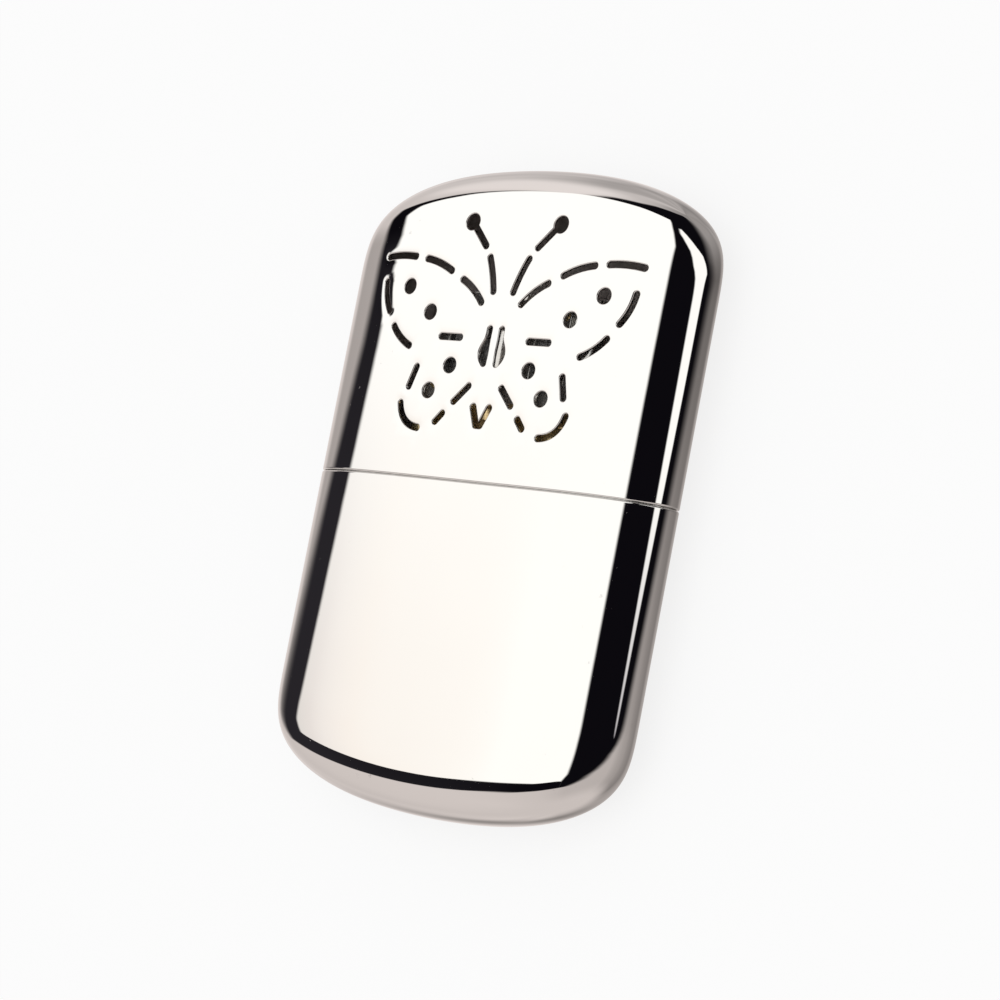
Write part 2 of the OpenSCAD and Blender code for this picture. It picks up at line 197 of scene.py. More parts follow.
ANTENNA_BALL = (8.8, 32.6)
ANTENNA_FOOT = (5.2, 28.9)
WING_SLOTS = (
    ((2.0, 21.9), (3.9, 27.1), 0.15),
    ((4.0, 20.1), (8.5, 23.5), 0.3),
    ((11.2, 24.8), (16.7, 26.55), 0.25),
    ((19.4, 26.85), (25.5, 26.7), 0.2),
    ((24.95, 22.7), (23.05, 18.1), 0.35),
    ((21.3, 15.7), (17.15, 12.75), 0.3),
    ((14.6, 9.5), (15.5, 6.4), 0),
    ((16.55, 3.7), (12.15, 0.1), 1),
    ((8.7, 1.3), (7.55, 2.6), 0),
    ((5.7, 4.6), (3.3, 7.1), 0),
    ((6.9, 14.5), (10.7, 14.5), 0),
)
WING_DOTS = ((19.4, 22.1), (14, 18.2), (7.9, 10.1), (11.3, 6))
# Half of the body: (x, y, radius) of circles from its foot over its belly up its stem
BODY_HALF = (
    (1.25, 10.75, 0.47), (1.45, 11.25, 0.67), (1.6, 11.8, 0.86), (1.66, 12.45, 0.93),
    (1.56, 13.2, 0.8), (1.38, 14.0, 0.6), (1.25, 14.8, 0.47), (1.2, 16.1, 0.45))
# The tail: a V with a rounded foot, its legs as wide as a slot times its share
TAIL_TIP = (1.58, 3.95)
TAIL_FOOT = (0.4, 1.3)
TAIL_SHARE = 1.1


# ---- Sheets and meshes -----------------------------------------------------------------
# A sheet is (points, faces, normals) and may end with the number of its finish. Faces have
# four corners; a triangle repeats its last.

def unit(vectors):
    """Vectors divided by their length."""
    return vectors / np.maximum(np.linalg.norm(vectors, axis=-1, keepdims=True), TINY)


def sheet_normals(points, faces):
    """At each point the sum of its faces' area vectors (half the diagonals' cross product)."""
    a, b, c, d = (points[faces[:, i]] for i in range(4))
    area = np.cross(c - a, d - b)
    total = np.zeros_like(points)
    for corner in range(4):
        np.add.at(total, faces[:, corner], area)
    return unit(total)


def grid_faces(rows, columns, rows_closed=False, columns_closed=False):
    """Faces of a grid of rows x columns points, joined end to end where it is closed."""
    index = np.arange(rows * columns).reshape(rows, columns)
    if rows_closed:
        index = np.vstack([index, index[:1]])
    if columns_closed:
        index = np.hstack([index, index[:, :1]])
    return np.stack([index[:-1, :-1], index[:-1, 1:], index[1:, 1:], index[1:, :-1]], -1)


def sheet(points, faces, normals=None):
    """Sheet of the given faces. Where normals are given, the faces turn to their side."""
    points, faces = points.reshape(-1, 3), faces.reshape(-1, 4)
    own = sheet_normals(points, faces)
    if normals is None:
        return points, faces, own
    normals = normals.reshape(-1, 3)
    if (own * normals).sum() < 0:
        faces = faces[:, ::-1]
    return points, faces, normals


def grid(points, normals=None, rows_closed=False, columns_closed=True):
    """Sheet over a (rows, columns, 3) array of points."""
    faces = grid_faces(*points.shape[:2], rows_closed, columns_closed)
    return sheet(points, faces, normals)


def flipped(made):
    """The sheet with its other side out."""
    return made[0], made[1][:, ::-1], -made[2]


def join(sheets):
    """The sheets as one: points, faces and normals in one row each."""
    shifts = np.cumsum([0] + [len(s[0]) for s in sheets[:-1]])
    return (np.concatenate([s[0] for s in sheets]),
            np.concatenate([s[1] + k for s, k in zip(sheets, shifts)]),
            np.concatenate([s[2] for s in sheets]))


def placed(points):
    """From heights above the seam about the middle plane into the frame."""
    case = bpy.context.scene.warmer_case
    seam = (case.tank_length - case.cap_length) / 2
    return points + (0, seam, case.half_thickness)


def make_piece(name, sheets, materials, body, node):
    """Welds the sheets into one closed mesh, which keeps each sheet's own normals at its
    corners, gives the piece its finishes and its body, and hides the imported part that it stands
    for."""
    points, faces, normals = join(sheets)
    kinds = np.concatenate([np.full(len(s[1]), s[3] if len(s) > 3 else 0) for s in sheets])
    used, faces = np.unique(faces, return_inverse=True)
    faces = faces.reshape(-1, 4)
    points, normals = points[used], normals[used]
    keys = np.floor(points / WELD + WELD_SHIFT).astype(np.int64)
    _, first, place = np.unique(keys, axis=0, return_index=True, return_inverse=True)
    welded = place.reshape(-1)[faces]
    keep = welded != np.roll(welded, -1, axis=1)
    keep &= (keep.sum(1) >= 3)[:, None]
    corners, corner_normals = welded[keep], normals[faces[keep]]
    sizes = keep.sum(1)
    kinds, sizes = kinds[sizes > 0], sizes[sizes > 0]
    starts = np.concatenate([[0], np.cumsum(sizes)[:-1]])
    following = np.arange(1, len(corners) + 1)
    following[starts + sizes - 1] = starts
    edges = corners * np.int64(len(first)) + corners[following]
    reverse = corners[following] * np.int64(len(first)) + corners
    unmatched = len(np.setxor1d(edges, reverse)) + len(edges) - len(np.unique(edges))
    if unmatched:
        raise RuntimeError(f"{name} isn't closed: {unmatched} edges have no partner")
    spots = points[first]
    a, b = spots[corners], spots[corners[following]]
    anchor = np.repeat(spots[corners[starts]], sizes, axis=0)
    if (anchor * np.cross(a, b)).sum() < 0:
        raise RuntimeError(f"{name} is inside out")
    mesh = bpy.data.meshes.new(name)
    mesh.vertices.add(len(spots))
    mesh.vertices.foreach_set("co", placed(spots).astype(np.float32).ravel())
    mesh.loops.add(len(corners))
    mesh.loops.foreach_set("vertex_index", corners.astype(np.int32))
    mesh.polygons.add(len(sizes))
    mesh.polygons.foreach_set("loop_start", starts.astype(np.int32))
    mesh.update(calc_edges=True)
    mesh.polygons.foreach_set("use_smooth", np.ones(len(sizes), bool))
    mesh.polygons.foreach_set("material_index", kinds.astype(np.int32))
    mesh.normals_split_custom_set(corner_normals.astype(np.float32))
    for material in materials:
        mesh.materials.append(material)
    piece = bpy.data.objects.new(name, mesh)
    bpy.context.scene.collection.objects.link(piece)
    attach(piece, body)
    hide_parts(node)
    return piece


def even_places(curve, start, stop, steps, samples=6001):
    """Parameters that cut a plane curve into steps of equal length-plus-turn."""
    fine = np.linspace(start, stop, samples)
    step = np.diff(curve(fine), axis=0)
    length = np.linalg.norm(step, axis=1)
    heading = np.unwrap(np.arctan2(step[:, 1], step[:, 0]))
    turn = np.abs(np.diff(heading, prepend=heading[:1]))
    share = np.concatenate([[0], np.cumsum(length / length.sum() + turn / turn.sum())])
    return np.interp(np.linspace(0, share[-1], steps + 1), share, fine)


def circle(angles):
    """Unit vectors at the given angles."""
    return np.stack([np.cos(angles), np.sin(angles)], -1)


def column(vectors, third=0.0):
    """Plane vectors with a third number."""
    return np.concatenate([vectors, np.full((*vectors.shape[:-1], 1), third)], -1)


def rounded(corners, radii_mm, steps=4):
    """Closed polyline whose corners are replaced by arcs that touch both sides: the arc's
    centre lies on the bisector at radius / sin(half the inner angle)."""
    corners = np.asarray(corners, float)
    radius = np.asarray(radii_mm) * MM
    before, after = np.roll(corners, 1, 0) - corners, np.roll(corners, -1, 0) - corners
    shorter = np.minimum(np.linalg.norm(before, axis=1), np.linalg.norm(after, axis=1))
    before, after = unit(before), unit(after)
    half = np.arccos(np.clip((before * after).sum(1), -1, 1)) / 2
    radius = np.minimum(radius, 0.45 * shorter * np.tan(half))
    reach = (radius / np.tan(half))[:, None]
    centre = corners + unit(before + after) * (radius / np.sin(half))[:, None]
    first, last = corners + before * reach - centre, corners + after * reach - centre
    start = np.arctan2(first[:, 1], first[:, 0])
    turn = np.arctan2(last[:, 1], last[:, 0]) - start
    turn = (turn + np.pi) % (2 * np.pi) - np.pi
    angle = start[:, None] + turn[:, None] * np.linspace(0, 1, steps + 1)
    return (centre[:, None] + circle(angle) * radius[:, None, None]).reshape(-1, 2)


# ---- Shape of the case -----------------------------------------------------------------

QUARTER_STEPS, STRIP_STEPS, END_STEPS, RISE_STEPS = 44, 12, 36, 18
LIP_ANGLES = np.linspace(0, np.pi / 2, 6)


def case_section(case, quarter=QUARTER_STEPS, strip=STRIP_STEPS):
    """Unit section once round from the right flank over the front, as columns (t, c, s): the
    place across the flat strip, c = cos(u)^(2/n) across the flank and s = sin(u)^(2/k)."""
    def flank(u):
        across, out = np.cos(u).clip(0), np.sin(u)
        return np.stack([across ** (2 / case.section_n), out ** (2 / case.section_k)], -1)
    reach = (case.half_width - case.flat_half, case.half_thickness)
    c, s = flank(even_places(lambda u: flank(u) * reach, 0, np.pi / 2, quarter)).T
    c[-1], s[0] = 0, 0
    t = np.linspace(1, -1, strip + 1)[1:-1]
    one, zero = np.ones(quarter + 1), np.zeros(strip - 1)
    across = [one, t, -one, -one[1:], -t, one[1:]]
    flanks = [c, zero, -c[::-1], -c[1:], zero, c[:0:-1]]
    heights = [s, zero + 1, s[::-1], -s[1:], zero - 1, -s[:0:-1]]
    return np.concatenate(across), np.concatenate(flanks), np.concatenate(heights)


def level_ring(case, section, inset, y):
    """Rings at heights y (rows) on the surface that lies inset inside the case's straight part:
    x = t*w0 + c*(a - inset - w0), z = s*(b - inset)."""
    t, c, s = section
    inset, y = np.broadcast_arrays(np.atleast_1d(inset), np.atleast_1d(y))
    x = t * case.flat_half + c * (case.half_width - inset[:, None] - case.flat_half)
    z = s * (case.half_thickness - inset[:, None])
    return np.stack([x, np.broadcast_to(y[:, None], x.shape), z], -1)


def domed_rings(case, section, inset, length, places):
    """Rings over a domed end at places e: the level ring shrunk by (1 - e^m)^(1/n) across and
    (1 - e^m)^(1/k) through, on arcs of radius Ra - inset - (r - inset)(1 - e)."""
    t, c, s = section
    e = places[:, None]
    left = (1 - e ** case.end_m).clip(0)
    across = case.half_width - inset - case.flat_half
    x = t * case.flat_half + c * across * left ** (1 / case.section_n)
    z = s * (case.half_thickness - inset) * left ** (1 / case.section_k)
    reach = case.end_radius - inset - (case.end_depth - inset) * (1 - e)
    y = length - case.end_radius + np.sqrt(reach ** 2 - x ** 2)
    return np.stack([x, y, z], -1)


def end_place(case, x, y, inset, length):
    """e of a point and its distance from the end arc's centre."""
    radius = np.hypot(x, y - (length - case.end_radius))
    e = 1 - (case.end_radius - inset - radius) / (case.end_depth - inset)
    return e.clip(0, 1), radius


def case_normals(case, points, inset, length):
    """Normals from the gradient of ((|x| - w0)/(a - w0))^n + (|z|/b)^k + e^m."""
    x, y, z = points[..., 0], points[..., 1], points[..., 2]
    across, through = case.half_width - inset - case.flat_half, case.half_thickness - inset
    e, radius = end_place(case, x, y, inset, length)
    over = case.end_m * e ** (case.end_m - 1) / (radius * (case.end_depth - inset))
    side = ((np.abs(x) - case.flat_half) / across).clip(0) ** (case.section_n - 1)
    gx = case.section_n * side * np.sign(x) / across + over * x
    gy = over * (y - (length - case.end_radius))
    gz = case.section_k * (np.abs(z) / through) ** (case.section_k - 1) * np.sign(z) / through
    return unit(np.stack([gx, gy, gz], -1))


def case_height(case, x, y, inset, length):
    """Front height of the case above its middle plane: b*(1 - across^n - e^m)^(1/k)."""
    across = ((np.abs(x) - case.flat_half) / (case.half_width - inset - case.flat_half)).clip(0)
    e, _ = end_place(case, x, y, inset, length)
    left = (1 - across ** case.section_n - e ** case.end_m).clip(0)
    return (case.half_thickness - inset) * left ** (1 / case.section_k)


def cup_surface(case, section, inset, length, foot):
    """Points of one wall of a cup, from its lip at foot to the ridge at its end."""
    def profile(e):
        return np.stack([e * case.end_depth, case.half_thickness * (1 - e ** case.end_m).clip(0)
                         ** (1 / case.section_k)], -1)
    places = even_places(profile, 0, 1, END_STEPS)
    dome = domed_rings(case, section, inset, length, places)
    lip = level_ring(case, section, inset, foot)
    share = np.linspace(0, 1, RISE_STEPS + 1)[:-1, None, None]
    return np.concatenate([lip + (dome[:1] - lip) * share, dome])


def lip_sheet(case, section, wall, foot, length):
    """Rolled lip: a quarter round outside, a flat face and a small round inside."""
    tilt = np.concatenate([LIP_ANGLES[::-1], LIP_ANGLES])
    side = np.repeat((-1.0, 1.0), len(LIP_ANGLES))
    radius = np.where(side > 0, case.lip_roll, case.lip_break)
    inset = np.where(side > 0, 0, wall) + side * radius * (1 - np.sin(tilt))
    points = level_ring(case, section, inset, foot + radius * (1 - np.cos(tilt)))
    flat = case_normals(case, level_ring(case, section, 0, foot), 0, length)
    tilt = tilt[:, None, None]
    normals = np.sin(tilt) * side[:, None, None] * flat - np.cos(tilt) * np.array([0, 1.0, 0])
    return grid(points, normals)


def cup_sheets(case, length, foot, panel=None):
    """The sheets of a drawn cup. panel(points, inset) may cut a block out of either wall and
    returns the wall's sheets."""
    section = case_section(case)
    outer = cup_surface(case, section, 0, length, foot + case.lip_roll)
    inner = cup_surface(case, section, case.wall, length, foot + case.lip_break)
    sheets = [lip_sheet(case, section, case.wall, foot, length)]
    for points, inset, side in ((outer, 0, 1), (inner, case.wall, -1)):
        normals = side * case_normals(case, points, inset, length)
        made = [grid(points, normals)] if panel is None else panel(points, normals, inset)
        sheets += [(*one, int(side < 0)) for one in made]
    return sheets


# ---- Vents -----------------------------------------------------------------------------
# An outline is a function of how far it has grown (a number or a column of numbers) that
# returns its points counterclockwise, always the same number of them.

CORE = -0.2 * MM  # distances to a vent are measured from its outline shrunk by this much
BAND = 0.5 * MM  # width of the regular band of faces round each vent
BAND_PLACES = (0.5, 0.41, 0.33, 0.26)  # loops of the band in millimetres, from its rim inwards
BAND_MARGIN = 0.35 * MM  # the sheet's own grid keeps this far off the bands
RINGS = ((0.75 * MM, 2), (1.05 * MM, 3))  # (distance, take every) of further rings of points
PANEL_HALF_WIDTH, PANEL_END_MARGIN = 28.9 * MM, 5.2 * MM
ROLL_ANGLES = np.radians([0, 18, 36, 54, 72, 90])

def offset_outline(spine, radius, normals):
    """Outline at radius + growth from the points of a spine, along the given normals."""
    return lambda grown: spine + (radius + np.asarray(grown)[..., None])[..., None] * normals


def hull_outline(circles, turn=12, side=6):
    """Outline round circles taken counterclockwise: an arc round each circle and the common
    tangent to the next, whose normal leans by asin((r1 - r2) / distance)."""
    circles = np.asarray(circles, float)
    centre, radius = circles[:, :2], circles[:, 2]
    if len(circles) == 1:
        normals = circle(np.linspace(0, 2 * np.pi, 4 * turn, endpoint=False))
        spine = np.broadcast_to(centre, normals.shape)
        return offset_outline(spine, np.full(len(normals), radius[0]), normals)
    step = np.roll(centre, -1, 0) - centre
    along = unit(step)
    lean = (radius - np.roll(radius, -1)) / np.linalg.norm(step, axis=1)
    right = np.stack([along[:, 1], -along[:, 0]], -1)
    tangent = right * np.sqrt(1 - lean ** 2)[:, None] + along * lean[:, None]
    angle = np.arctan2(tangent[:, 1], tangent[:, 0])
    start = np.roll(angle, 1)
    angles = start[:, None] + ((angle - start) % (2 * np.pi))[:, None] * np.linspace(0, 1, turn + 1)
    share = np.linspace(0, 1, side + 1)[1:-1]
    normals = np.concatenate([circle(angles), np.repeat(tangent[:, None], side - 1, 1)], 1)
    spine = np.concatenate([np.repeat(centre[:, None], turn + 1, 1),
                            centre[:, None] + step[:, None] * share[:, None]], 1)
    radii = np.concatenate([np.repeat(radius[:, None], turn + 1, 1),
                            radius[:, None] + (np.roll(radius, -1) - radius)[:, None] * share], 1)
    return offset_outline(spine.reshape(-1, 2), radii.ravel(), normals.reshape(-1, 2))


def ribbon_outline(path, half, turn=12):
    """Outline at the distance half round an open path: up its right side, round its end, back
    down its left side and round its start. Where half changes along the path, the sides'
    normals lean ahead by the share -d(half)/d(path)."""
    half = np.full(len(path), half) if np.ndim(half) == 0 else half
    step = np.gradient(path, axis=0)
    along = unit(step)
    left = np.stack([-along[:, 1], along[:, 0]], -1)
    lean = -(np.gradient(half) / np.linalg.norm(step, axis=1))[:, None]
    square = np.sqrt(1 - lean ** 2)

    def cap(k, start, stop):
        angle = np.linspace(start, stop, turn + 1)[1:-1, None]
        return np.cos(angle) * along[k] + np.sin(angle) * left[k]

    def there_and_back(values):
        ends = [np.repeat(values[k][None], turn - 1, 0) for k in (-1, 0)]
        return np.concatenate([values, ends[0], values[::-1], ends[1]])
    first, last = np.arccos(lean[0, 0]), np.arccos(lean[-1, 0])
    normals = np.concatenate([lean * along - square * left, cap(-1, -last, last),
                              (lean * along + square * left)[::-1],
                              cap(0, first, 2 * np.pi - first)])
    return offset_outline(there_and_back(path), there_and_back(half), normals)


def chain_outline(circles, steps=4):
    """Smooth outline round a chain of circles; between two of them centre and radius follow
    the cubic whose slope at each circle is half the step between its neighbours."""
    circles = np.asarray(circles, float)
    slope = np.gradient(circles, axis=0)
    t = np.linspace(0, 1, steps + 1)[:-1, None]
    before, after = circles[:-1, None], circles[1:, None]
    leave, arrive = slope[:-1, None], slope[1:, None]
    curve = (before * (2 * t ** 3 - 3 * t ** 2 + 1) + leave * (t ** 3 - 2 * t ** 2 + t)
             + after * (3 * t ** 2 - 2 * t ** 3) + arrive * (t ** 3 - t ** 2)).reshape(-1, 3)
    curve = np.concatenate([curve, circles[-1:]])
    return ribbon_outline(curve[:, :2], curve[:, 2])


def slot_outline(start, end, bow, half, steps=16):
    """Bowed slot: the chord plus bow*4t(1 - t) to its left."""
    start, end = np.array(start), np.array(end)
    t = np.linspace(0, 1, steps + 1)[:, None]
    along = end - start
    across = np.array([-along[1], along[0]]) / np.hypot(*along)
    return ribbon_outline(start + along * t + across * bow * 4 * t * (1 - t), half)


def antenna_outline(ball, foot, radius, half):
    """Round ball on a stem: the ball's arc starts and ends where the stem's sides meet it, at
    asin(stem half width / ball radius) from the stem."""
    ball, foot = np.array(ball), np.array(foot)
    stem = unit(foot - ball)
    left = np.array([-stem[1], stem[0]])

    def outline(grown):
        grown = np.asarray(grown, float)[..., None]
        r, h = radius + grown, half + grown
        meet = np.arcsin(h / r)
        angle = meet + (2 * np.pi - 2 * meet) * np.linspace(0, 1, 41)
        head = ball + (r * np.cos(angle))[..., None] * stem + (r * np.sin(angle))[..., None] * left
        down = np.linspace(0, 1, 9)[1:]
        corner = foot - left * h[..., None]
        right_side = head[..., -1:, :] + (corner - head[..., -1:, :]) * down[:, None]
        angle = np.linspace(np.pi, 0, 13)[1:]
        cap = foot + h[..., None] * (np.cos(angle)[:, None] * left + np.sin(angle)[:, None] * stem)
        left_side = cap[..., -1:, :] + (head[..., :1, :] - cap[..., -1:, :]) * down[:-1, None]
        return np.concatenate([head, right_side, cap, left_side], -2)
    return outline


def tail_outline(tip, foot, half):
    """V with a rounded foot: from the bottom of its middle up the right leg's outside, round
    the tip, down the inside to the notch on the middle line, then the mirror of all that."""
    tip, foot = np.array(tip), np.array(foot)
    leg = unit(tip - foot)
    outward = np.array([leg[1], -leg[0]])
    lean = np.arctan2(outward[1], outward[0])

    def outline(grown):
        h = half + np.asarray(grown, float)[..., None]
        bend = np.linspace(-np.pi / 2, lean, 7)
        heel = foot + h[..., None] * circle(bend)
        outside = foot + h[..., None] * outward + (tip - foot) * np.linspace(0, 1, 9)[1:-1, None]
        cap = tip + h[..., None] * circle(lean + np.linspace(0, np.pi, 13))
        # The legs' inner sides meet on the middle line, or on the foot's upper side before it
        down = (outward[0] * h - foot[0]) / leg[0]
        flat = h * (1 + outward[1]) / leg[1]
        short = np.maximum(down, flat)
        notch = foot - h[..., None] * outward + short[..., None] * leg
        inside = cap[..., -1:, :] + (notch - cap[..., -1:, :]) * np.linspace(0, 1, 8)[1:, None]
        half_loop = np.concatenate([heel, outside, cap, inside], -2)
        return np.concatenate([half_loop, half_loop[..., ::-1, :] * (-1, 1)], -2)
    return outline


def mirrored(outline):
    """The same outline on the left half, again counterclockwise."""
    return lambda grown: outline(grown)[..., ::-1, :] * (-1, 1)


def shifted(outline, x, y):
    """The outline moved by (x, y)."""
    return lambda grown: outline(grown) + (x, y)


def butterfly(vents):
    """Every outline of the pierced figure, in metres above the seam."""
    mm = lambda values: np.array(values) * MM
    half, dot = vents.slot_half, vents.dot_radius
    right = [antenna_outline(mm(ANTENNA_BALL), mm(ANTENNA_FOOT), vents.ball_radius, half),
             chain_outline(mm(BODY_HALF))]
    right += [slot_outline(mm(a), mm(b), bow * MM, half) for a, b, bow in WING_SLOTS]
    right += [hull_outline([(*mm(spot), dot)]) for spot in WING_DOTS]
    figure = right + [mirrored(o) for o in right]
    figure.append(tail_outline(mm(TAIL_TIP), mm(TAIL_FOOT), half * TAIL_SHARE))
    return [shifted(o, 0, vents.figure_rise) for o in figure]


def nearest(points, loop):
    """Vector from the nearest place of a closed polyline to each point."""
    step = np.roll(loop, -1, 0) - loop
    off = points[:, None] - loop
    share = ((off * step).sum(-1) / np.maximum((step ** 2).sum(-1), 1e-18)).clip(0, 1)
    off = off - share[..., None] * step
    best = (off ** 2).sum(-1).argmin(1)
    return off[np.arange(len(points)), best]


def vent_distance(outlines, points):
    """Distance from each point to the nearest vent."""
    best = np.full(len(points), np.inf)
    for outline in outlines:
        best = np.minimum(best, np.linalg.norm(nearest(points, outline(CORE)), axis=1) + CORE)
    return best


def sunk(vents, outlines, points):
    """Sink of the sheet beside the vents, depth*(1 - d/reach)^2 summed over them, and its
    slopes along x and y."""
    sink, slope = np.zeros(len(points)), np.zeros((len(points), 2))
    for outline in outlines:
        core, margin = outline(CORE), 1.1 * vents.sink_reach
        near = (points > core.min(0) - margin) & (points < core.max(0) + margin)
        near = np.flatnonzero(near.all(1))
        off = nearest(points[near], core)
        distance = np.linalg.norm(off, axis=1)
        left = (1 - (distance + CORE) / vents.sink_reach).clip(0)
        sink[near] += vents.sink * left ** 2
        slope[near] -= (2 * vents.sink * left / vents.sink_reach)[:, None] * unit(off)
    return sink, slope


INSIDE_ONLY = 1  # the triangulation's output: only what lies inside the given loops


def turning(loop):
    """1 where a loop runs counterclockwise, -1 where it runs clockwise."""
    following = np.roll(loop, -1, 0)
    return 1 if (loop[:, 0] * following[:, 1] - loop[:, 1] * following[:, 0]).sum() > 0 else -1


def fill(rim, holes, inside):
    """Triangles inside the rim loop and outside the hole loops, through the inner points.
    Returns the plane points and the faces."""
    loops = [rim] + holes
    points = np.concatenate(loops + [inside])
    starts = np.cumsum([0] + [len(loop) for loop in loops])
    wanted = [list(range(a, b))[::turning(points[a:b])] for a, b in zip(starts[:-1], starts[1:])]
    flat = [Vector(p) for p in (points / MM).tolist()]
    _, _, triangles, origin, _, owners = delaunay_2d_cdt(flat, [], wanted, INSIDE_ONLY, 1e-6, True)
    kept = np.array([t for t, owner in zip(triangles, owners) if set(owner) == {0}])
    original = np.array([o[0] if o else -1 for o in origin])
    faces = original[kept]
    if (faces < 0).any():
        raise RuntimeError("two outlines of a pierced sheet cross")
    return points, faces[:, [0, 1, 2, 2]]


class PiercedPanel:
    """The front panel of the cap with its vents, cut into both walls of the cup."""

    def __init__(self, case, vents, length, section):
        self.case, self.vents, self.length = case, vents, length
        self.outlines = butterfly(vents)
        flank = section[1][:QUARTER_STEPS + 1] * (case.half_width - case.flat_half)
        first = int(np.flatnonzero(case.flat_half + flank < PANEL_HALF_WIDTH)[0])
        self.columns = (first, 2 * QUARTER_STEPS + STRIP_STEPS - first)

    def surface(self, flat, inset):
        """Points and normals of the sunk sheet above plane points."""
        x, y = flat[:, 0], flat[:, 1]
        z = case_height(self.case, x, y, inset, self.length)
        sink, slope = sunk(self.vents, self.outlines, flat)
        normals = case_normals(self.case, np.stack([x, y, z], -1), inset, self.length)
        normals = normals / normals[:, 2:] - column(-slope)
        return np.stack([x, y, z - sink], -1), unit(normals)

    def cut(self, points, normals, inset):
        """The wall without its front block, and the pierced panel that fills the block."""
        rows, columns = points.shape[:2]
        side = 1 if inset == 0 else -1
        first, last = self.columns
        foot, middle = 2, points[:, (first + last) // 2, 1]
        top = int(np.flatnonzero(middle > self.length - PANEL_END_MARGIN)[0])
        faces = grid_faces(rows, columns, False, True)
        kept = np.ones(faces.shape[:2], bool)
        kept[foot:top, first:last] = False
        wall = sheet(points, faces[kept], normals)
        block = points[foot:top + 1, first:last + 1, :2]
        sides = (block[0, :-1], block[:-1, -1], block[-1, :0:-1], block[:0:-1, 0])
        inside = block[1:-1, 1:-1].reshape(-1, 2)
        inside = [inside[vent_distance(self.outlines, inside) > BAND + BAND_MARGIN]]
        for grown, every in RINGS if inset == 0 else ():
            ring = np.concatenate([o(grown)[::every] for o in self.outlines])
            inside.append(ring[vent_distance(self.outlines, ring) > grown - 0.02 * MM])
        flat, faces = fill(np.concatenate(sides)[::-1], [o(BAND) for o in self.outlines],
                           np.concatenate(inside))
        panel_points, panel_normals = self.surface(flat, inset)
        return [wall, sheet(panel_points, faces, side * panel_normals)] + [
            self.edge(o, inset) for o in self.outlines]

    def edge(self, outline, inset):
        """Band round one vent. Outside it comes in from the panel, rolls over the edge by a
        quarter round and runs down the cut to the inner wall; inside it is a flat band."""
        def surface_of(loops):
            made = self.surface(loops.reshape(-1, 2), inset)
            return [values.reshape(*loops.shape[:2], 3) for values in made]
        if inset:
            points, normals = surface_of(outline(np.array([0, 0.2, 0.5]) * MM))
            return grid(points, -normals)
        roll, flat = self.vents.edge_roll, len(BAND_PLACES)
        grown = np.concatenate([np.array(BAND_PLACES) * MM,
                                roll * (1 - np.sin(ROLL_ANGLES)), [0, 0]])
        drop = np.concatenate([np.zeros(flat), roll * (1 - np.cos(ROLL_ANGLES))])
        tilt = np.concatenate([np.zeros(flat), ROLL_ANGLES, [np.pi / 2] * 2])[:, None, None]
        loops = outline(grown)
        points, normals = surface_of(loops)
        points[:-2, :, 2] -= drop[:, None]
        under, _ = self.surface(loops[-1], self.case.wall)
        points[-1, :, 2] = under[:, 2]
        points[-2, :, 2] = (points[-3, :, 2] + under[:, 2]) / 2
        outward = column(unit(outline(0.02 * MM) - outline(-0.02 * MM)))
        return grid(points, unit(np.cos(tilt) * normals - np.sin(tilt) * outward))


# ---- Profiles carried round an outline, and pierced plates -----------------------------

def carried(profile, outline, closed=True):
    """Surface of a profile of (growth, height) pairs carried round an outline across the case:
    the outline's second coordinate is Z and the height is Y. Outward normals need a profile
    that runs up the outside."""
    loops = outline(profile[:, 0])
    heights = np.broadcast_to(profile[:, 1, None], loops.shape[:2])
    points = np.stack([loops[..., 0], heights, loops[..., 1]], -1)
    return flipped(grid(points, rows_closed=closed))


def slot_section(width, thickness, turn=24, side=24):
    """Outline of a rounded slot across the case."""
    half = (width - thickness) / 2
    return hull_outline([(-half, 0, thickness / 2), (half, 0, thickness / 2)], turn, side)


def case_outline(case, inset, quarter=30, strip=8):
    """Outline of the case's section at the given inset; growing it lessens the inset."""
    section = case_section(case, quarter, strip)

    def outline(grown):
        ring = level_ring(case, section, inset - np.atleast_1d(grown), 0)[..., [0, 2]]
        return ring if np.ndim(grown) else ring[0]
    return outline


def plate(rim, profile, holes, axes, spacing=1.2 * MM):
    """Plate with the outline rim, pierced by the outlines in holes. The profile runs from the
    front face round the rim's edge to the back face as (growth, height); a hole's grows the
    other way. Both faces are triangulated between the profiles' ends, through a square grid
    of points. axes maps (u, v, height) into the case's directions."""
    axes = np.array(axes, float)
    sheets = []
    edges = [(rim, profile)] + [(hole, profile * (-1, 1)) for hole in holes]
    for row, side in ((0, 1), (-1, -1)):
        loops = [outline(profile[row, 0]) for outline, profile in edges]
        low, high = loops[0].min(0), loops[0].max(0)
        u, v = (np.arange(a + spacing / 2, b, spacing) for a, b in zip(low, high))
        inside = np.stack(np.meshgrid(u, v), -1).reshape(-1, 2)
        for i, loop in enumerate(loops):
            off = np.linalg.norm(nearest(inside, loop), axis=1) if len(inside) else np.zeros(0)
            inside = inside[(off > spacing * 0.45) & (within(inside, loop) == (i == 0))]
        flat, faces = fill(loops[0], loops[1:], inside)
        points = column(flat, profile[row, 1]) @ axes
        sheets.append(sheet(points, faces, np.broadcast_to(side * axes[2], points.shape)))
    for i, (outline, edge) in enumerate(edges):
        loops = outline(edge[:, 0])
        heights = np.broadcast_to(edge[:, 1, None, None], loops.shape[:2] + (1,))
        points = np.concatenate([loops, heights], -1) @ axes
        away = column(unit(outline(0.01 * MM) - outline(-0.01 * MM))) @ axes
        made = grid(points)
        own = made[2].reshape(points.shape)[len(edge) // 2]
        outside = (own * away).sum() > 0
        sheets.append(made if outside == (i == 0) else flipped(made))
    return sheets


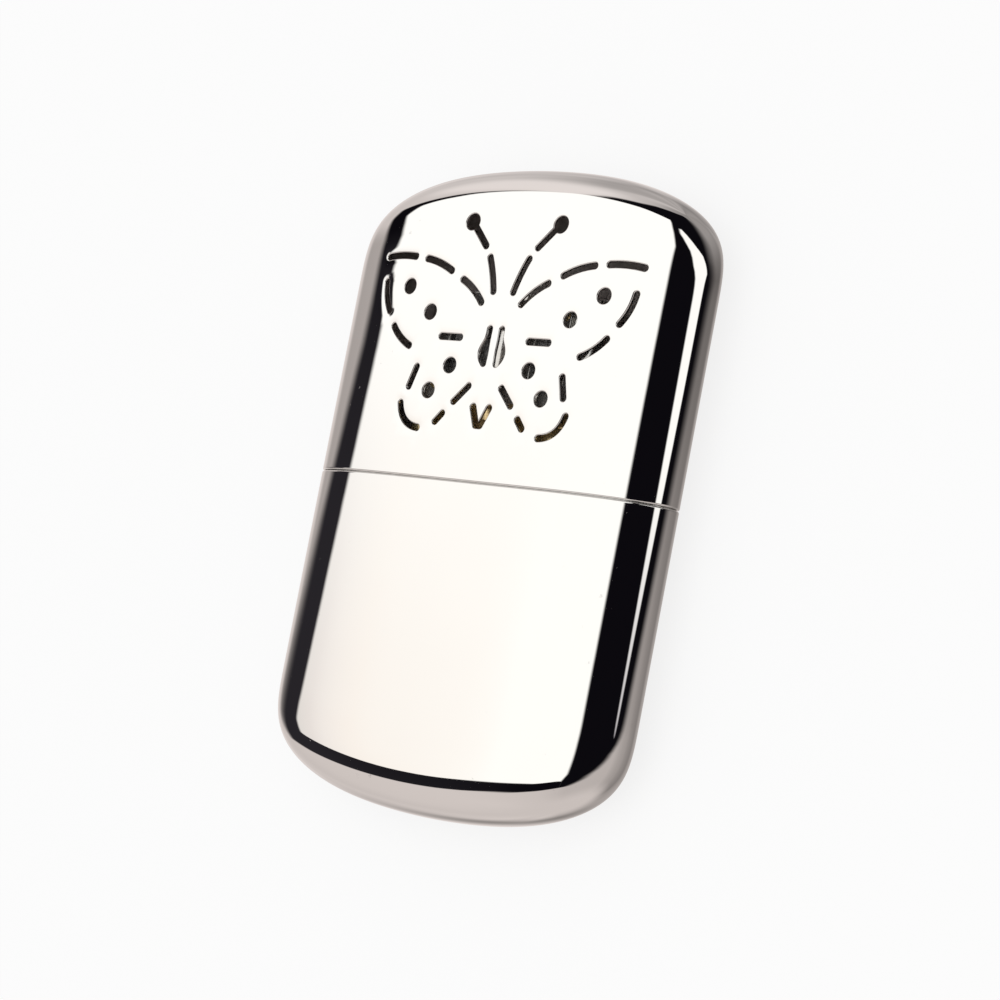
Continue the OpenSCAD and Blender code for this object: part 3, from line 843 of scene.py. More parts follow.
def within(points, loop):
    """Whether each point lies inside a closed polyline: the crossings of a ray are odd."""
    a, b = loop, np.roll(loop, -1, 0)
    y = points[:, 1:2]
    spans = (a[:, 1] > y) != (b[:, 1] > y)
    rise = np.where(np.abs(b[:, 1] - a[:, 1]) < TINY, TINY, b[:, 1] - a[:, 1])
    cross = a[:, 0] + (y - a[:, 1]) * (b[:, 0] - a[:, 0]) / rise
    return ((spans & (points[:, 0:1] < cross)).sum(1) % 2).astype(bool)


def edge_profile(top, bottom, radius, steps=4):
    """Profile over the edge of a plate between two heights, with both edges rounded: from
    -radius at the top over 0 down the wall to -radius at the bottom."""
    angles = np.linspace(0, np.pi / 2, steps + 1)
    out, down = -radius * (1 - np.sin(angles)), radius * (1 - np.cos(angles))
    upper = np.stack([out, top - down], -1)
    lower = np.stack([out, bottom + down], -1)[::-1]
    return np.concatenate([upper, lower])


ACROSS = ((1, 0, 0), (0, 0, 1), (0, 1, 0))


WAVES, WAVES_PEAK = 8, 2.8  # sine waves of a ripple, and about what their sum reaches


def ripples(points, wavelength, seed):
    """Even noise between about -1 and 1: the scaled sum of sine waves of random direction,
    near the given wavelength."""
    random = np.random.default_rng(seed)
    total = np.zeros(points.shape[:-1])
    for _ in range(WAVES):
        wave = unit(random.normal(size=3)) * 2 * np.pi / (wavelength * random.uniform(0.7, 1.5))
        total += np.sin(points @ wave + random.uniform(0, 2 * np.pi))
    return total / WAVES_PEAK


def lumpy(made, lumps, seed, share):
    """The sheet pushed in along its normals by lumps (depth, wavelength in millimetres), each
    of them depth*(1 + ripple)/2, times a share at each point."""
    points, faces, normals = made
    depth = sum(deep * MM * (0.5 + 0.5 * ripples(points, wave * MM, seed + i))
                for i, (deep, wave) in enumerate(lumps))
    points = points - normals * (depth * share)[:, None]
    return points, faces, sheet_normals(points, faces)


def loaf(profile, outline, lumps, seed):
    """Soft closed solid: a profile that starts and ends where the outline has shrunk onto its
    middle line, with lumps that fade out towards that line."""
    made = carried(profile, outline, closed=False)
    depth = np.abs(made[0][:, 2])
    share = np.abs(made[2][:, [0, 2]]).max(1) + depth / depth.max()
    return lumpy(made, lumps, seed, share.clip(0, 1))


# ---- Finishes --------------------------------------------------------------------------

class Tree:
    """Adds shader nodes and joins them; inputs are named or numbered sockets."""

    def __init__(self, tree):
        self.tree = tree
        tree.nodes.clear()

    def add(self, kind, inputs=(), **settings):
        """Node with its settings; an input is a socket to join or a value."""
        node = self.tree.nodes.new("ShaderNode" + kind)
        for name, value in settings.items():
            setattr(node, name, value)
        for socket, value in dict(inputs).items():
            if isinstance(value, bpy.types.NodeSocket):
                self.tree.links.new(value, node.inputs[socket])
            else:
                node.inputs[socket].default_value = value
        return node

    def math(self, operation, *values):
        return self.add("Math", dict(enumerate(values)), operation=operation).outputs[0]

    def scaled(self, vector, factor):
        inputs = {0: vector, 1: (factor,) * 3}
        return self.add("VectorMath", inputs, operation="MULTIPLY").outputs[0]

    def noise(self, place, scale, detail=2.0, stretch=(1, 1, 1), **more):
        """Noise of the given scale (per metre), stretched along an axis by a smaller factor."""
        mapped = self.add("Mapping", {"Vector": place, "Scale": stretch}).outputs[0]
        inputs = {"Vector": mapped, "Scale": scale, "Detail": detail, **more}
        return self.add("TexNoise", inputs).outputs["Fac"]

    def ramp(self, value, stops):
        """Value sent through a ramp of (place, grey or colour) stops."""
        node = self.add("ValToRGB", {"Fac": value})
        elements = node.color_ramp.elements
        while len(elements) < len(stops):
            elements.new(1.0)
        for element, (place, shade) in zip(elements, stops):
            element.position = place
            element.color = (*shade, 1) if np.ndim(shade) else (shade, shade, shade, 1)
        return node.outputs[0]

    def blend(self, share, first, second, mode="MIX"):
        node = self.add("Mix", data_type="RGBA", blend_type=mode)
        for socket, value in ((0, share), (6, first), (7, second)):
            if isinstance(value, bpy.types.NodeSocket):
                self.tree.links.new(value, node.inputs[socket])
            else:
                node.inputs[socket].default_value = (*value, 1) if np.ndim(value) else value
        return node.outputs[2]

    def bumps(self, layers):
        """Normal bumped by (height, distance in metres) layers on top of each other."""
        normal = {}
        for height, distance in layers:
            inputs = {"Height": height, "Distance": distance, "Strength": 1.0, **normal}
            normal = {"Normal": self.add("Bump", inputs).outputs[0]}
        return normal


FINISH = "finish_"

# Each metal: its colour and, where there is one, its heated colour; how metallic it is; its
# noises as (waves per metre, detail, stretch); the noise and stops of its tone, where a stop's
# value multiplies the colour or is the share of the heated one; the noises and stops whose sum
# is its roughness; and its relief as (noise, metres).
METALS = {
    # Mirror plate: a trace of rolling waves, hairline rubs, a thin film and a few specks
    "case_chrome": (
        ("chrome",), 1.0,
        {"waves": (190, 1.0), "rubs": (2600, 3.0, (1, 0.04, 1)), "film": (60, 3.0),
         "specks": (620, 2.0), "tone": (35, 2.0)},
        ("tone", ((0.3, 0.985), (0.7, 1))),
        (("film", ((0.35, 0.008), (0.75, 0.026))), ("specks", ((0.715, 0.0), (0.75, 0.16)))),
        (("waves", 3e-6), ("rubs", 1.5e-8))),
    # Unpolished inner face of the drawn sheet: satin, browned by warmth and vapour
    "case_inside": (
        ("inside",), 0.32,
        {"drawn": (3800, 4.0, (1, 0.04, 1)), "stain": (130, 4.0)},
        ("stain", ((0.32, 0.8), (0.7, 1))),
        (("drawn", ((0.3, 0.4), (0.75, 0.6))),),
        (("drawn", 1.5e-6), ("stain", 6e-6))),
    # Bright plate dulled by the cap: fine marks along the way it slides
    "collar_chrome": (
        ("collar",), 0.88,
        {"marks": (5200, 4.0, (1, 0.02, 1)), "worn": (420, 3.0, (1, 0.1, 1))},
        ("worn", ((0.3, 0.86), (0.7, 1))),
        (("marks", ((0.3, 0.15), (0.75, 0.32))),),
        (("marks", 1.1e-6), ("worn", 2e-6))),
    # Bright brass that the burner has tanned in cloudy patches
    "fitting_brass": (
        ("brass", "brass_heated"), 0.86,
        {"clouds": (150, 4.0), "drawn": (4200, 3.0, (1, 0.05, 1))},
        ("clouds", ((0.42, 0.0), (0.72, 0.8))),
        (("drawn", ((0.3, 0.18), (0.75, 0.34))),),
        (("drawn", 1e-6), ("clouds", 6e-6))),
    # Nickel-plated stamping, satin, tinted by heat in soft zones
    "burner_nickel": (
        ("nickel", "nickel_heated"), 0.85,
        {"grain": (4600, 4.0, (0.05, 1, 1)), "zones": (110, 3.0)},
        ("zones", ((0.45, 0.0), (0.75, 0.7))),
        (("grain", ((0.3, 0.07), (0.75, 0.2))),),
        (("grain", 0.5e-6), ("zones", 6e-6))),
    # Steel wire, dulled by heat
    "gauze_steel": (
        ("gauze",), 0.85,
        {"scale": (900, 4.0)},
        ("scale", ((0.3, 0.6), (0.7, 1.25))),
        (("scale", ((0.3, 0.5), (0.7, 0.32))),),
        ()),
}
# Each soft filling: its colour, the size of its tangle and the depth of its relief in
# millimetres, the painted shade of its hollows (the share of its colour left there) and its sheen.
FIBRES = {
    "catalyst_fibre": ("mat", 0.35, 0.12, 0.45, 0.15),
    "wick_felt": ("felt", 0.3, 0.08, 0.82, 0.3),
    "tank_cotton": ("cotton", 0.6, 0.25, 0.86, 0.4),
}


def tinted(shade, factor):
    """The colour times a factor, at most white."""
    return tuple(min(1.0, factor * c) for c in shade)


def new_finish(name):
    """Empty material, its tree and the place on the piece that its patterns read."""
    material = bpy.data.materials.new(FINISH + name)
    material.use_nodes = True
    tree = Tree(material.node_tree)
    return material, tree, tree.add("TexCoord").outputs["Object"]


def finish_with(tree, inputs):
    """Principled shader of those inputs as the tree's surface."""
    shader = tree.add("BsdfPrincipled", inputs)
    tree.add("OutputMaterial", {"Surface": shader.outputs[0]})


def metal(name, colours, metallic, noises, tone, roughness, relief):
    """Metal finish from a row of METALS."""
    material, tree, place = new_finish(name)
    noises = {key: tree.noise(place, *noise) for key, noise in noises.items()}
    shades = [tuple(getattr(bpy.context.scene.warmer_finishes, key)) for key in colours]
    pattern, stops = noises[tone[0]], tone[1]
    if len(shades) > 1:
        colour_over = tree.blend(tree.ramp(pattern, stops), *shades)
    else:
        colour_over = tree.ramp(pattern, [(at, tinted(shades[0], v)) for at, v in stops])
    rough = [tree.ramp(noises[key], stops) for key, stops in roughness]
    rough = tree.math("ADD", *rough) if len(rough) > 1 else rough[0]
    finish_with(tree, {"Base Color": colour_over, "Roughness": rough, "Metallic": metallic,
                       **tree.bumps([(noises[key], depth) for key, depth in relief])})
    return material


def fibre(name, colour_name, wavelength, depth, hollow_shade, sheen):
    """Soft fibrous finish: tangled stretched noise in colour and relief, with a sheen. The colour
    follows the relief, so painted shade darkens its hollows and its tops are painted a little
    lighter.
    """
    material, tree, place = new_finish(name)
    shade, scale = getattr(bpy.context.scene.warmer_finishes, colour_name), 1 / (wavelength * MM)
    both = tree.math("MAXIMUM", *(tree.noise(place, scale, 5.0, stretch, Distortion=1.6)
                                  for stretch in ((1, 0.22, 1), (0.22, 1, 0.6))))
    clouds = tree.noise(place, scale * 0.12, 3.0)
    level = tree.math("ADD", tree.math("MULTIPLY", both, 0.7), tree.math("MULTIPLY", clouds, 0.3))
    # Painted shade and highlight: darker colour in the low places of the relief, a little lighter
    # on its tops
    tint_with_painted_shade = tree.ramp(level, ((0.38, tinted(shade, hollow_shade)), (0.66, tinted(shade, 1.08))))
    finish_with(tree, {"Base Color": tint_with_painted_shade, "Roughness": 0.95, "Sheen Weight": sheen,
                       "Sheen Roughness": 0.5,
                       **tree.bumps([(both, depth * MM), (clouds, depth * MM * 2)])})
    return material


def material_of(slot):
    """The material of a slot, made on its first use."""
    made = bpy.data.materials.get(FINISH + slot)
    if made:
        return made
    return metal(slot, *METALS[slot]) if slot in METALS else fibre(slot, *FIBRES[slot])


def add_piece(name, sheets, body, slot, node, *more):
    """Piece with the finish of its slot, and more finishes for sheets that name them."""
    return make_piece(name, sheets, [material_of(s) for s in (slot, *more)], body, node)


# ---- Levels of the fittings, above the seam --------------------------------------------

EDGE = 0.12 * MM  # rounding of the edges of a stamped plate


class Levels:
    """Heights and insets that follow from the sizes, as the solids have them."""

    def __init__(self, scene):
        case, fit, burner = scene.warmer_case, scene.warmer_fittings, scene.warmer_burner
        self.slide_inset = case.wall + fit.slide_clearance
        self.collar_inner = self.slide_inset + fit.collar_wall
        self.shoulder_under = fit.collar_rise - fit.shoulder
        self.neck_foot = fit.collar_rise - fit.neck_drop
        self.neck_top = fit.collar_rise + fit.neck_rise
        self.grid_top = self.neck_top - fit.grid_depth
        self.skirt_foot = fit.collar_rise + burner.skirt_gap
        self.floor_foot = self.neck_top + burner.floor_gap
        self.floor_top = self.floor_foot + burner.sheet
        self.burner_top = self.floor_top + burner.height
        throat = 2 * fit.neck_wall + 2 * fit.seat_clearance
        self.throat = (fit.neck_width - throat, fit.neck_thickness - throat)
        self.burner_width = fit.neck_width + 2 * (fit.slide_clearance + burner.sheet)
        self.burner_thickness = fit.neck_thickness + 2 * (fit.slide_clearance + burner.sheet)
        self.burner_r = self.burner_thickness / 2
        self.burner_flat = (self.burner_width - self.burner_thickness) / 2
        self.grille_inner = self.burner_r - burner.sheet
        self.flange_inner = self.grille_inner - burner.sheet
        self.rivet_x = self.burner_flat - burner.flange / 2
        low_rivet = self.floor_top + burner.window_foot
        self.rivet_ys = [low_rivet, low_rivet + burner.window_height + 2.6 * MM]
        self.rivet_tail = 0.1 * MM
        self.gauze_outer = self.flange_inner - 2 * self.rivet_tail
        self.gauze_half_w = self.burner_flat + 1.6 * MM
        self.gauze_foot = self.floor_top + 0.1 * MM
        self.gauze_top = self.burner_top - burner.gauze_drop
        self.mat_outer = self.gauze_outer - burner.gauze - 0.1 * MM
        self.mat_half_w = self.gauze_half_w - 0.2 * MM
        self.mat_foot = self.gauze_foot + 0.2 * MM
        self.mat_top = self.gauze_top - burner.gauze - 0.1 * MM


def in_a_row(count_of, pitch):
    """Places of that many things in a row about the middle."""
    return [(i - (count_of - 1) / 2) * pitch for i in range(count_of)]


def soft_profile(deep, foot, top, radius, steps=5, rings=5):
    """Profile of a soft solid that runs from its middle line (growth -deep) over a rounded
    edge at its foot, up its side and back to the middle line at its top."""
    angle = np.linspace(0, np.pi / 2, steps + 1)
    disc = np.linspace(-deep, -radius, rings + 1)[:-1]
    edge = np.stack([-radius * (1 - np.sin(angle)), foot + radius * (1 - np.cos(angle))], -1)
    rise_steps = max(3, int((top - foot) / (1.2 * MM)))
    rise = np.linspace(foot + radius, top - radius, rise_steps)[1:-1]
    side = np.stack([np.zeros(len(rise)), rise], -1)
    upper = np.stack([edge[::-1, 0], top + foot - edge[::-1, 1]], -1)
    start = np.stack([disc, np.full(rings, foot)], -1)
    stop = np.stack([disc[::-1], np.full(rings, top)], -1)
    return np.concatenate([start, edge, side, upper, stop])


# ---- Operators -------------------------------------------------------------------------

class BuildCap(bpy.types.Operator):
    """Build the cap with its pierced butterfly"""
    bl_idname = "warmer.cap"
    bl_label = "Cap"

    def execute(self, context):
        case, vents = context.scene.warmer_case, context.scene.warmer_vents
        panel = PiercedPanel(case, vents, case.cap_length, case_section(case))
        sheets = cup_sheets(case, case.cap_length, case.seam_gap, panel.cut)
        add_piece("cap_case", sheets, "cap", "case_chrome", "cap_shell", "case_inside")
        return {"FINISHED"}


class BuildTank(bpy.types.Operator):
    """Build the tank's case, the cap's form without vents turned end for end"""
    bl_idname = "warmer.tank"
    bl_label = "Tank"

    def execute(self, context):
        case, turn = context.scene.warmer_case, (1, -1, 1)
        sheets = [(points * turn, faces[:, ::-1], normals * turn, *kind)
                  for points, faces, normals, *kind in cup_sheets(case, case.tank_length, 0)]
        add_piece("tank_case", sheets, "tank", "case_chrome", "tank_shell", "case_inside")
        return {"FINISHED"}


class BuildMouth(bpy.types.Operator):
    """Build the collar, shoulder, neck and grid in the tank's mouth"""
    bl_idname = "warmer.mouth"
    bl_label = "Tank fittings"

    def execute(self, context):
        scene = context.scene
        case, fit, at = scene.warmer_case, scene.warmer_fittings, Levels(scene)
        wall, top, under = fit.collar_wall, fit.collar_rise, at.shoulder_under
        foot = -fit.collar_depth
        collar = rounded([(0, foot), (0, top), (-wall, top), (-wall, foot)],
                         (0.1, 0.2, 0.12, 0.08))
        add_piece("collar_sleeve", [carried(collar, case_outline(case, at.slide_inset))],
                  "tank", "collar_chrome", "tank_collar")

        outer = case_outline(case, at.collar_inner + fit.seat_clearance)
        hole = slot_section(fit.neck_width + 2 * fit.seat_clearance,
                            fit.neck_thickness + 2 * fit.seat_clearance)
        add_piece("shoulder_lid", plate(outer, edge_profile(top, under, EDGE), [hole], ACROSS),
                  "tank", "collar_chrome", "shoulder_plate")

        neck, flange = fit.neck_wall, fit.flange
        foot, lip = under - fit.strip, at.neck_top
        profile = rounded([(0, at.neck_foot), (0, foot), (flange, foot), (flange, under),
                           (0, under), (0, lip), (-neck, lip), (-neck, at.neck_foot)],
                          (0.1, 0.12, 0.12, 0.1, 0.05, 0.22, 0.2, 0.1))
        throat = carried(profile, slot_section(fit.neck_width, fit.neck_thickness))
        add_piece("neck_throat", [throat], "tank", "fitting_brass", "filler_neck")

        width, thickness = at.throat
        pitch = (width - fit.grid_rim) / fit.grid_windows
        window = pitch - fit.grid_rim
        opening = slot_section(window, min(thickness - 2 * fit.grid_rim, window), 12, 8)
        holes = [shifted(opening, x, 0) for x in in_a_row(fit.grid_windows, pitch)]
        profile = edge_profile(at.grid_top, at.grid_top - fit.strip, EDGE)
        sheets = plate(slot_section(width, thickness), profile, holes, ACROSS, 0.8 * MM)
        add_piece("throat_grid", sheets, "tank", "burner_nickel", "neck_grid")
        return {"FINISHED"}


class BuildFillings(bpy.types.Operator):
    """Build the felt in the neck and the two batts of cotton in the tank"""
    bl_idname = "warmer.fillings"
    bl_label = "Felt and cotton"

    felt_lumps = ((0.1, 1.6),)  # (depth, wavelength) in millimetres
    cotton_lumps = ((0.5, 11), (0.25, 4))

    def execute(self, context):
        scene = context.scene
        case, fit, at = scene.warmer_case, scene.warmer_fittings, Levels(scene)
        width, thickness = at.throat
        profile = soft_profile(thickness / 2, at.neck_foot, at.grid_top - fit.strip, 0.5 * MM)
        felt = loaf(profile, slot_section(width, thickness, 20, 60), self.felt_lumps, 3)
        add_piece("throat_felt", [felt], "tank", "wick_felt", "felt_plug")

        gap, radius = fit.soft_clearance, 1.5 * MM
        inset = at.collar_inner + gap
        profile = soft_profile(case.half_thickness - inset, gap / 2 - fit.batt_joint,
                               at.neck_foot - gap, radius)
        batt = loaf(profile, case_outline(case, inset), self.cotton_lumps, 11)
        add_piece("upper_batt", [batt], "tank", "tank_cotton", "cotton_upper")

        inset, top = case.wall + gap, fit.batt_joint + gap / 2
        section = case_section(case, 30, 8)
        places = np.sin(np.linspace(0, np.pi / 2, 18)) ** (2 / case.end_m)
        dome = domed_rings(case, section, inset, case.tank_length, places)
        edge = soft_profile(case.half_thickness - inset, top, top + 6 * MM, radius)[:11]
        start = level_ring(case, section, inset - edge[:, 0], edge[:, 1])
        side = start[-1:] + (dome[:1] - start[-1:]) * np.linspace(0, 1, 7)[1:-1, None, None]
        made = grid(np.concatenate([start, side, dome]) * (1, -1, 1))
        reach = (np.abs(made[0][:, 2]) / (2 * MM)).clip(0, 1)
        add_piece("lower_batt", [lumpy(made, self.cotton_lumps, 21, reach)],
                  "tank", "tank_cotton", "cotton_lower")
        return {"FINISHED"}


class BuildBurner(bpy.types.Operator):
    """Build the burner's skirt, floor, pierced walls, end channels and rivets"""
    bl_idname = "warmer.burner"
    bl_label = "Burner"

    joggle = 0.9 * MM  # length over which an end channel's flange steps in behind the walls

    def execute(self, context):
        scene = context.scene
        burner, at = scene.warmer_burner, Levels(scene)
        self.skirt_and_floor(burner, at)
        self.walls(burner, at)
        self.channels(burner, at)
        self.rivets(burner, at)
        return {"FINISHED"}

    def skirt_and_floor(self, burner, at):
        """Skirt with a shallow rolled groove round it, and the floor with its row of holes."""
        outline = slot_section(at.burner_width, at.burner_thickness)
        thin, low, high = burner.sheet, at.skirt_foot, at.floor_foot
        groove, deep = low + 0.45 * (high - low), 0.13 * MM
        mouth, bed = 0.45 * MM, 0.12 * MM
        profile = rounded([(0, low), (0, groove - mouth), (-deep, groove - bed),
                           (-deep, groove + bed), (0, groove + mouth), (0, high),
                           (-thin, high), (-thin, low)],
                          (0.16, 0.3, 0.2, 0.2, 0.3, 0.1, 0.08, 0.12))
        add_piece("skirt_sleeve", [carried(profile, outline)],
                  "burner", "fitting_brass", "burner_skirt")

        pitch = 2 * at.burner_flat / (burner.vapour_holes - 1)
        holes = [hull_outline([(x, 0, burner.vapour_hole)])
                 for x in in_a_row(burner.vapour_holes, pitch)]
        profile = edge_profile(at.floor_top, at.floor_foot, EDGE)
        add_piece("burner_floor", plate(outline, profile, holes, ACROSS),
                  "burner", "fitting_brass", "vapour_plate")

    def walls(self, burner, at):
        """Front and back walls, each with two pairs of tall round-ended windows."""
        profile = edge_profile(at.burner_r, at.grille_inner, 0.13 * MM)
        inner, outer = burner.middle_bar / 2, at.burner_flat - burner.flange - 0.3 * MM
        width = (outer - inner - burner.side_bar) / 2
        mid_y = at.floor_top + burner.window_foot + burner.window_height / 2
        tall = (burner.window_height - width) / 2
        holes = []
        for side in (-1, 1):
            for i in (0, 1):
                x = side * (inner + width / 2 + i * (width + burner.side_bar))
                ends = [(x, mid_y - tall, width / 2), (x, mid_y + tall, width / 2)]
                holes.append(hull_outline(ends, 16, 10))
        corner = 0.3 * MM
        x, low, high = at.burner_flat - corner, at.floor_top + corner, at.burner_top - corner
        corners = ((-x, low), (x, low), (x, high), (-x, high))
        rim = hull_outline([(*spot, corner) for spot in corners], 5, 24)
        for side, out in (("front", 1), ("back", -1)):
            axes = ((1, 0, 0), (0, 1, 0), (0, 0, out))
            add_piece(side + "_wall", plate(rim, profile, holes, axes),
                      "burner", "burner_nickel", side + "_grille")

    def channels(self, burner, at):
        """Half-round end walls whose flanges step in behind the grilles."""
        half = burner.sheet / 2
        middle_r, level = at.burner_r - half, at.flange_inner + half
        step = np.linspace(0, 1, 9)
        ease = step * step * (3 - 2 * step)
        arc_start = np.arccos(self.joggle / middle_r)
        curve = middle_r * circle(np.linspace(-arc_start, arc_start, 41)) + (at.burner_flat, 0)
        lift = curve[-1, 1] - level
        flange = np.linspace(at.burner_flat - burner.flange + half, at.burner_flat, 6)[:-1]
        joggled = np.stack([at.burner_flat + self.joggle * step, level + lift * ease], -1)
        upper = np.concatenate([np.stack([flange, np.full(5, level)], -1), joggled[:-1]])
        path = np.concatenate([upper * (1, -1), curve, upper[::-1]])
        outline = ribbon_outline(path, half, 8)
        profile = edge_profile(at.burner_top, at.floor_top, 0.1 * MM)
        for name, side in (("right_end", 1), ("left_end", -1)):
            axes = ((side, 0, 0), (0, 0, 1), (0, 1, 0))
            add_piece(name + "_wall", plate(outline, profile, [], axes, 5 * MM),
                      "burner", "burner_nickel", name + "_channel")

    def rivets(self, burner, at, steps=28):
        """Rivets with low domed heads, four on each face: a profile turned about Z."""
        head, top = burner.rivet_radius, at.burner_r + burner.rivet_head
        shank, tail = 0.5 * MM, burner.rivet_radius - 0.15 * MM
        face, foot = at.burner_r + 0.04 * MM, at.flange_inner - at.rivet_tail
        arc = np.linspace(0.02, np.pi / 2, 8)
        dome = np.stack([head * np.sin(arc), face + (top - face) * np.cos(arc)], -1)
        profile = np.concatenate([[(0, top)], dome, [
            (head, at.burner_r), (shank, at.burner_r), (shank, at.flange_inner),
            (tail, at.flange_inner), (tail, foot), (0, foot)]])
        ring = circle(np.linspace(0, 2 * np.pi, steps, endpoint=False))
        one = column(profile[:, None, :1] * ring, profile[:, None, 1:])
        sheets = []
        for out in (1, -1):
            for side in (1, -1):
                for y in at.rivet_ys:
                    made = grid(one * (1, 1, out) + (side * at.rivet_x, y, 0))
                    on_dome = made[2][steps * 5:steps * 6, 2].sum()
                    sheets.append(made if on_dome * out > 0 else flipped(made))
        add_piece("rivet_heads", sheets, "burner", "fitting_brass", "burner_rivets")


class BuildCatalyst(bpy.types.Operator):
    """Weave the gauze and build the fibre mat inside it"""
    bl_idname = "warmer.catalyst"
    bl_label = "Catalyst"

    wire_radius, swing, corner = 0.075 * MM, 0.055 * MM, 1.0 * MM
    mat_lumps = ((0.22, 2.2), (0.12, 0.9))  # (depth, wavelength) in millimetres

    def execute(self, context):
        scene = context.scene
        burner, at = scene.warmer_burner, Levels(scene)
        add_piece("woven_gauze", self.gauze(burner, at), "burner", "gauze_steel", "gauze_liner")
        add_piece("fibre_mat", [self.mat(burner, at)], "burner", "catalyst_fibre", "catalyst_mat")
        return {"FINISHED"}

    def fold(self, place, outer, foot, top):
        """Point and outward normal, across the case, of the path that runs up the front leg,
        over the roof with rounded corners and down the back leg, at the lengths given."""
        corner = self.corner
        leg, roof, bend = top - corner - foot, 2 * (outer - corner), corner * np.pi / 2
        starts = np.cumsum([0, leg, bend, roof, bend])
        lengths = (leg, bend, roof, bend, leg)
        a, turn1, b, turn2, c = ((place - s).clip(0, l) for s, l in zip(starts, lengths))
        turn1, turn2 = turn1 / corner, turn2 / corner
        turn = turn1 + turn2
        z = outer - corner * (1 - np.cos(turn1)) - b - corner * np.sin(turn2)
        y = foot + a + corner * np.sin(turn1) - corner * (1 - np.cos(turn2)) - c
        return np.stack([y, z], -1), np.stack([np.sin(turn), np.cos(turn)], -1)

    def gauze(self, burner, at):
        """Plain weave: each wire swings to and fro by a cosine as it crosses the others, and
        the two families are half a wave apart."""
        pitch, proud = burner.gauze_pitch, self.wire_radius + self.swing
        outer, top = at.gauze_outer - proud, at.gauze_top - proud
        legs = 2 * (top - self.corner - at.gauze_foot)
        length = legs + 2 * (outer - self.corner) + np.pi * self.corner
        xs = np.array(in_a_row(int(2 * at.gauze_half_w / pitch), pitch))
        ss = length / 2 + np.array(in_a_row(int(length / pitch), pitch))
        angle = np.radians([45, 135, 225, 315])
        sheets = []
        for family, (own, crossed) in enumerate(((xs, ss), (ss, xs))):
            steps = np.arange(-1, 2 * len(crossed)) / 2
            along = np.tile(crossed[0] + steps * pitch, (len(own), 1))
            beside = own[:, None] + 0 * along
            parity = np.arange(len(own))[:, None] + family
            off = self.swing * np.cos(np.pi * (steps[None, :] + parity))
            x, s = (along, beside) if family else (beside, along)
            flat, normal = self.fold(s, outer, at.gauze_foot, top)
            flat = flat + normal * off[..., None]
            centre = np.concatenate([x[..., None], flat], -1)
            up = np.concatenate([0 * x[..., None], normal], -1)
            ahead = unit(np.gradient(centre, axis=1))
            up = unit(up - ahead * (up * ahead).sum(-1, keepdims=True))
            side = np.cross(ahead, up)
            across, rising = np.cos(angle)[:, None], np.sin(angle)[:, None]
            ring = across * side[:, :, None] + rising * up[:, :, None]
            points = centre[:, :, None] + self.wire_radius * ring
            ends = np.stack([centre[:, 0], centre[:, -1]], 1)[:, :, None] + 0 * points[:, :1]
            points = np.concatenate([ends[:, :1], points, ends[:, 1:]], 1)
            sheets += [flipped(grid(wire)) for wire in points]
        return [join(sheets)]

    def mat(self, burner, at):
        """Two leaves of fibre joined at the top, their section a folded band carried across
        the burner, with a fluffy surface of two sizes of lump."""
        slit = max(0.1 * MM, 2 * (at.mat_outer - burner.mat_leaf)) / 2
        foot, top, outer = at.mat_foot, at.mat_top, at.mat_outer
        roof = top - (outer - slit)
        section = rounded([(foot, outer), (top, outer), (top, -outer), (foot, -outer),
                           (foot, -slit), (roof, -slit), (roof, slit), (foot, slit)],
                          (0.5, 1.3, 1.3, 0.5, 0.5, 0.15, 0.15, 0.5), 5)
        step = np.roll(section, -1, 0) - section
        parts = np.maximum(1, (np.linalg.norm(step, axis=1) / (0.4 * MM)).astype(int))
        section = np.concatenate([a + s * np.linspace(0, 1, n, endpoint=False)[:, None]
                                  for a, s, n in zip(section, step, parts)])
        x = np.linspace(-at.mat_half_w, at.mat_half_w, 90)
        made = grid(np.stack(np.broadcast_arrays(x[:, None], section[:, 0], section[:, 1]), -1))
        edge = ((at.mat_half_w - np.abs(made[0][:, 0])) / (0.8 * MM)).clip(0, 1)
        band = lumpy(made, self.mat_lumps, 31, np.sqrt(edge))
        points = band[0]
        ends = []
        for loop, facing in ((points[:len(section)], -1), (points[-len(section):], 1)):
            _, faces = fill(loop[:, 1:], [], np.zeros((0, 2)))
            ends.append(sheet(loop, faces, np.zeros(loop.shape) + (facing, 0, 0)))
        if band[2][points[:, 2].argmax(), 2] < 0:
            band = flipped(band)
        return join([band] + ends)


# ---- Studio ----------------------------------------------------------------------------
# The studio that polished metal shows is drawn by direction: the bearing runs from the
# front (+Z) towards the right (+X) and the height is the angle above the case's cross plane,
# both in degrees. Each edge below is a row of (height, bearing) corners.

MAIN_LEFT = (
    (-24, -6), (-22, -10), (-20, -22), (-16, -31), (-12.5, -40), (-9.5, -66), (-4, -67),
    (0, -65), (4, -62), (8, -59), (12, -59), (16, -62), (20, -66), (25, -65), (29, -56),
    (33, -52), (37, -48), (40, -40), (44, -29), (48, -8), (52, 0))
MAIN_RIGHT = (
    (-24, -8), (-16, -5.5), (0, -7), (8, -6), (20, -2), (32, -3.5), (44, -6), (48, -8), (52, -16))
SIDE_LEFT = (
    (-3, 52), (0, 43), (2, 41), (4, 38), (12, 31), (16, 24), (20, 21), (24, 17.5), (28, 12),
    (36, 4), (42, 3), (45, 10))
SIDE_RIGHT = (
    (-3, 36), (0, 45), (2, 46), (4, 48.5), (8, 58), (12, 61), (16, 66), (20, 61), (28, 47),
    (32, 32), (36, 22), (45, 2))
DARK_LEFT = (
    (-40, 40), (-34, 0), (-31, -20), (-28, -31), (-24, -38), (-20, -66), (-16, -86), (-12, -90),
    (-4, -95), (2, -92), (5, -80), (8, -71), (12, -72), (20, -80), (25, -80), (30, -62),
    (36, -47), (44, -44), (52, -35), (60, -30), (68, -20), (78, 0), (84, 60))
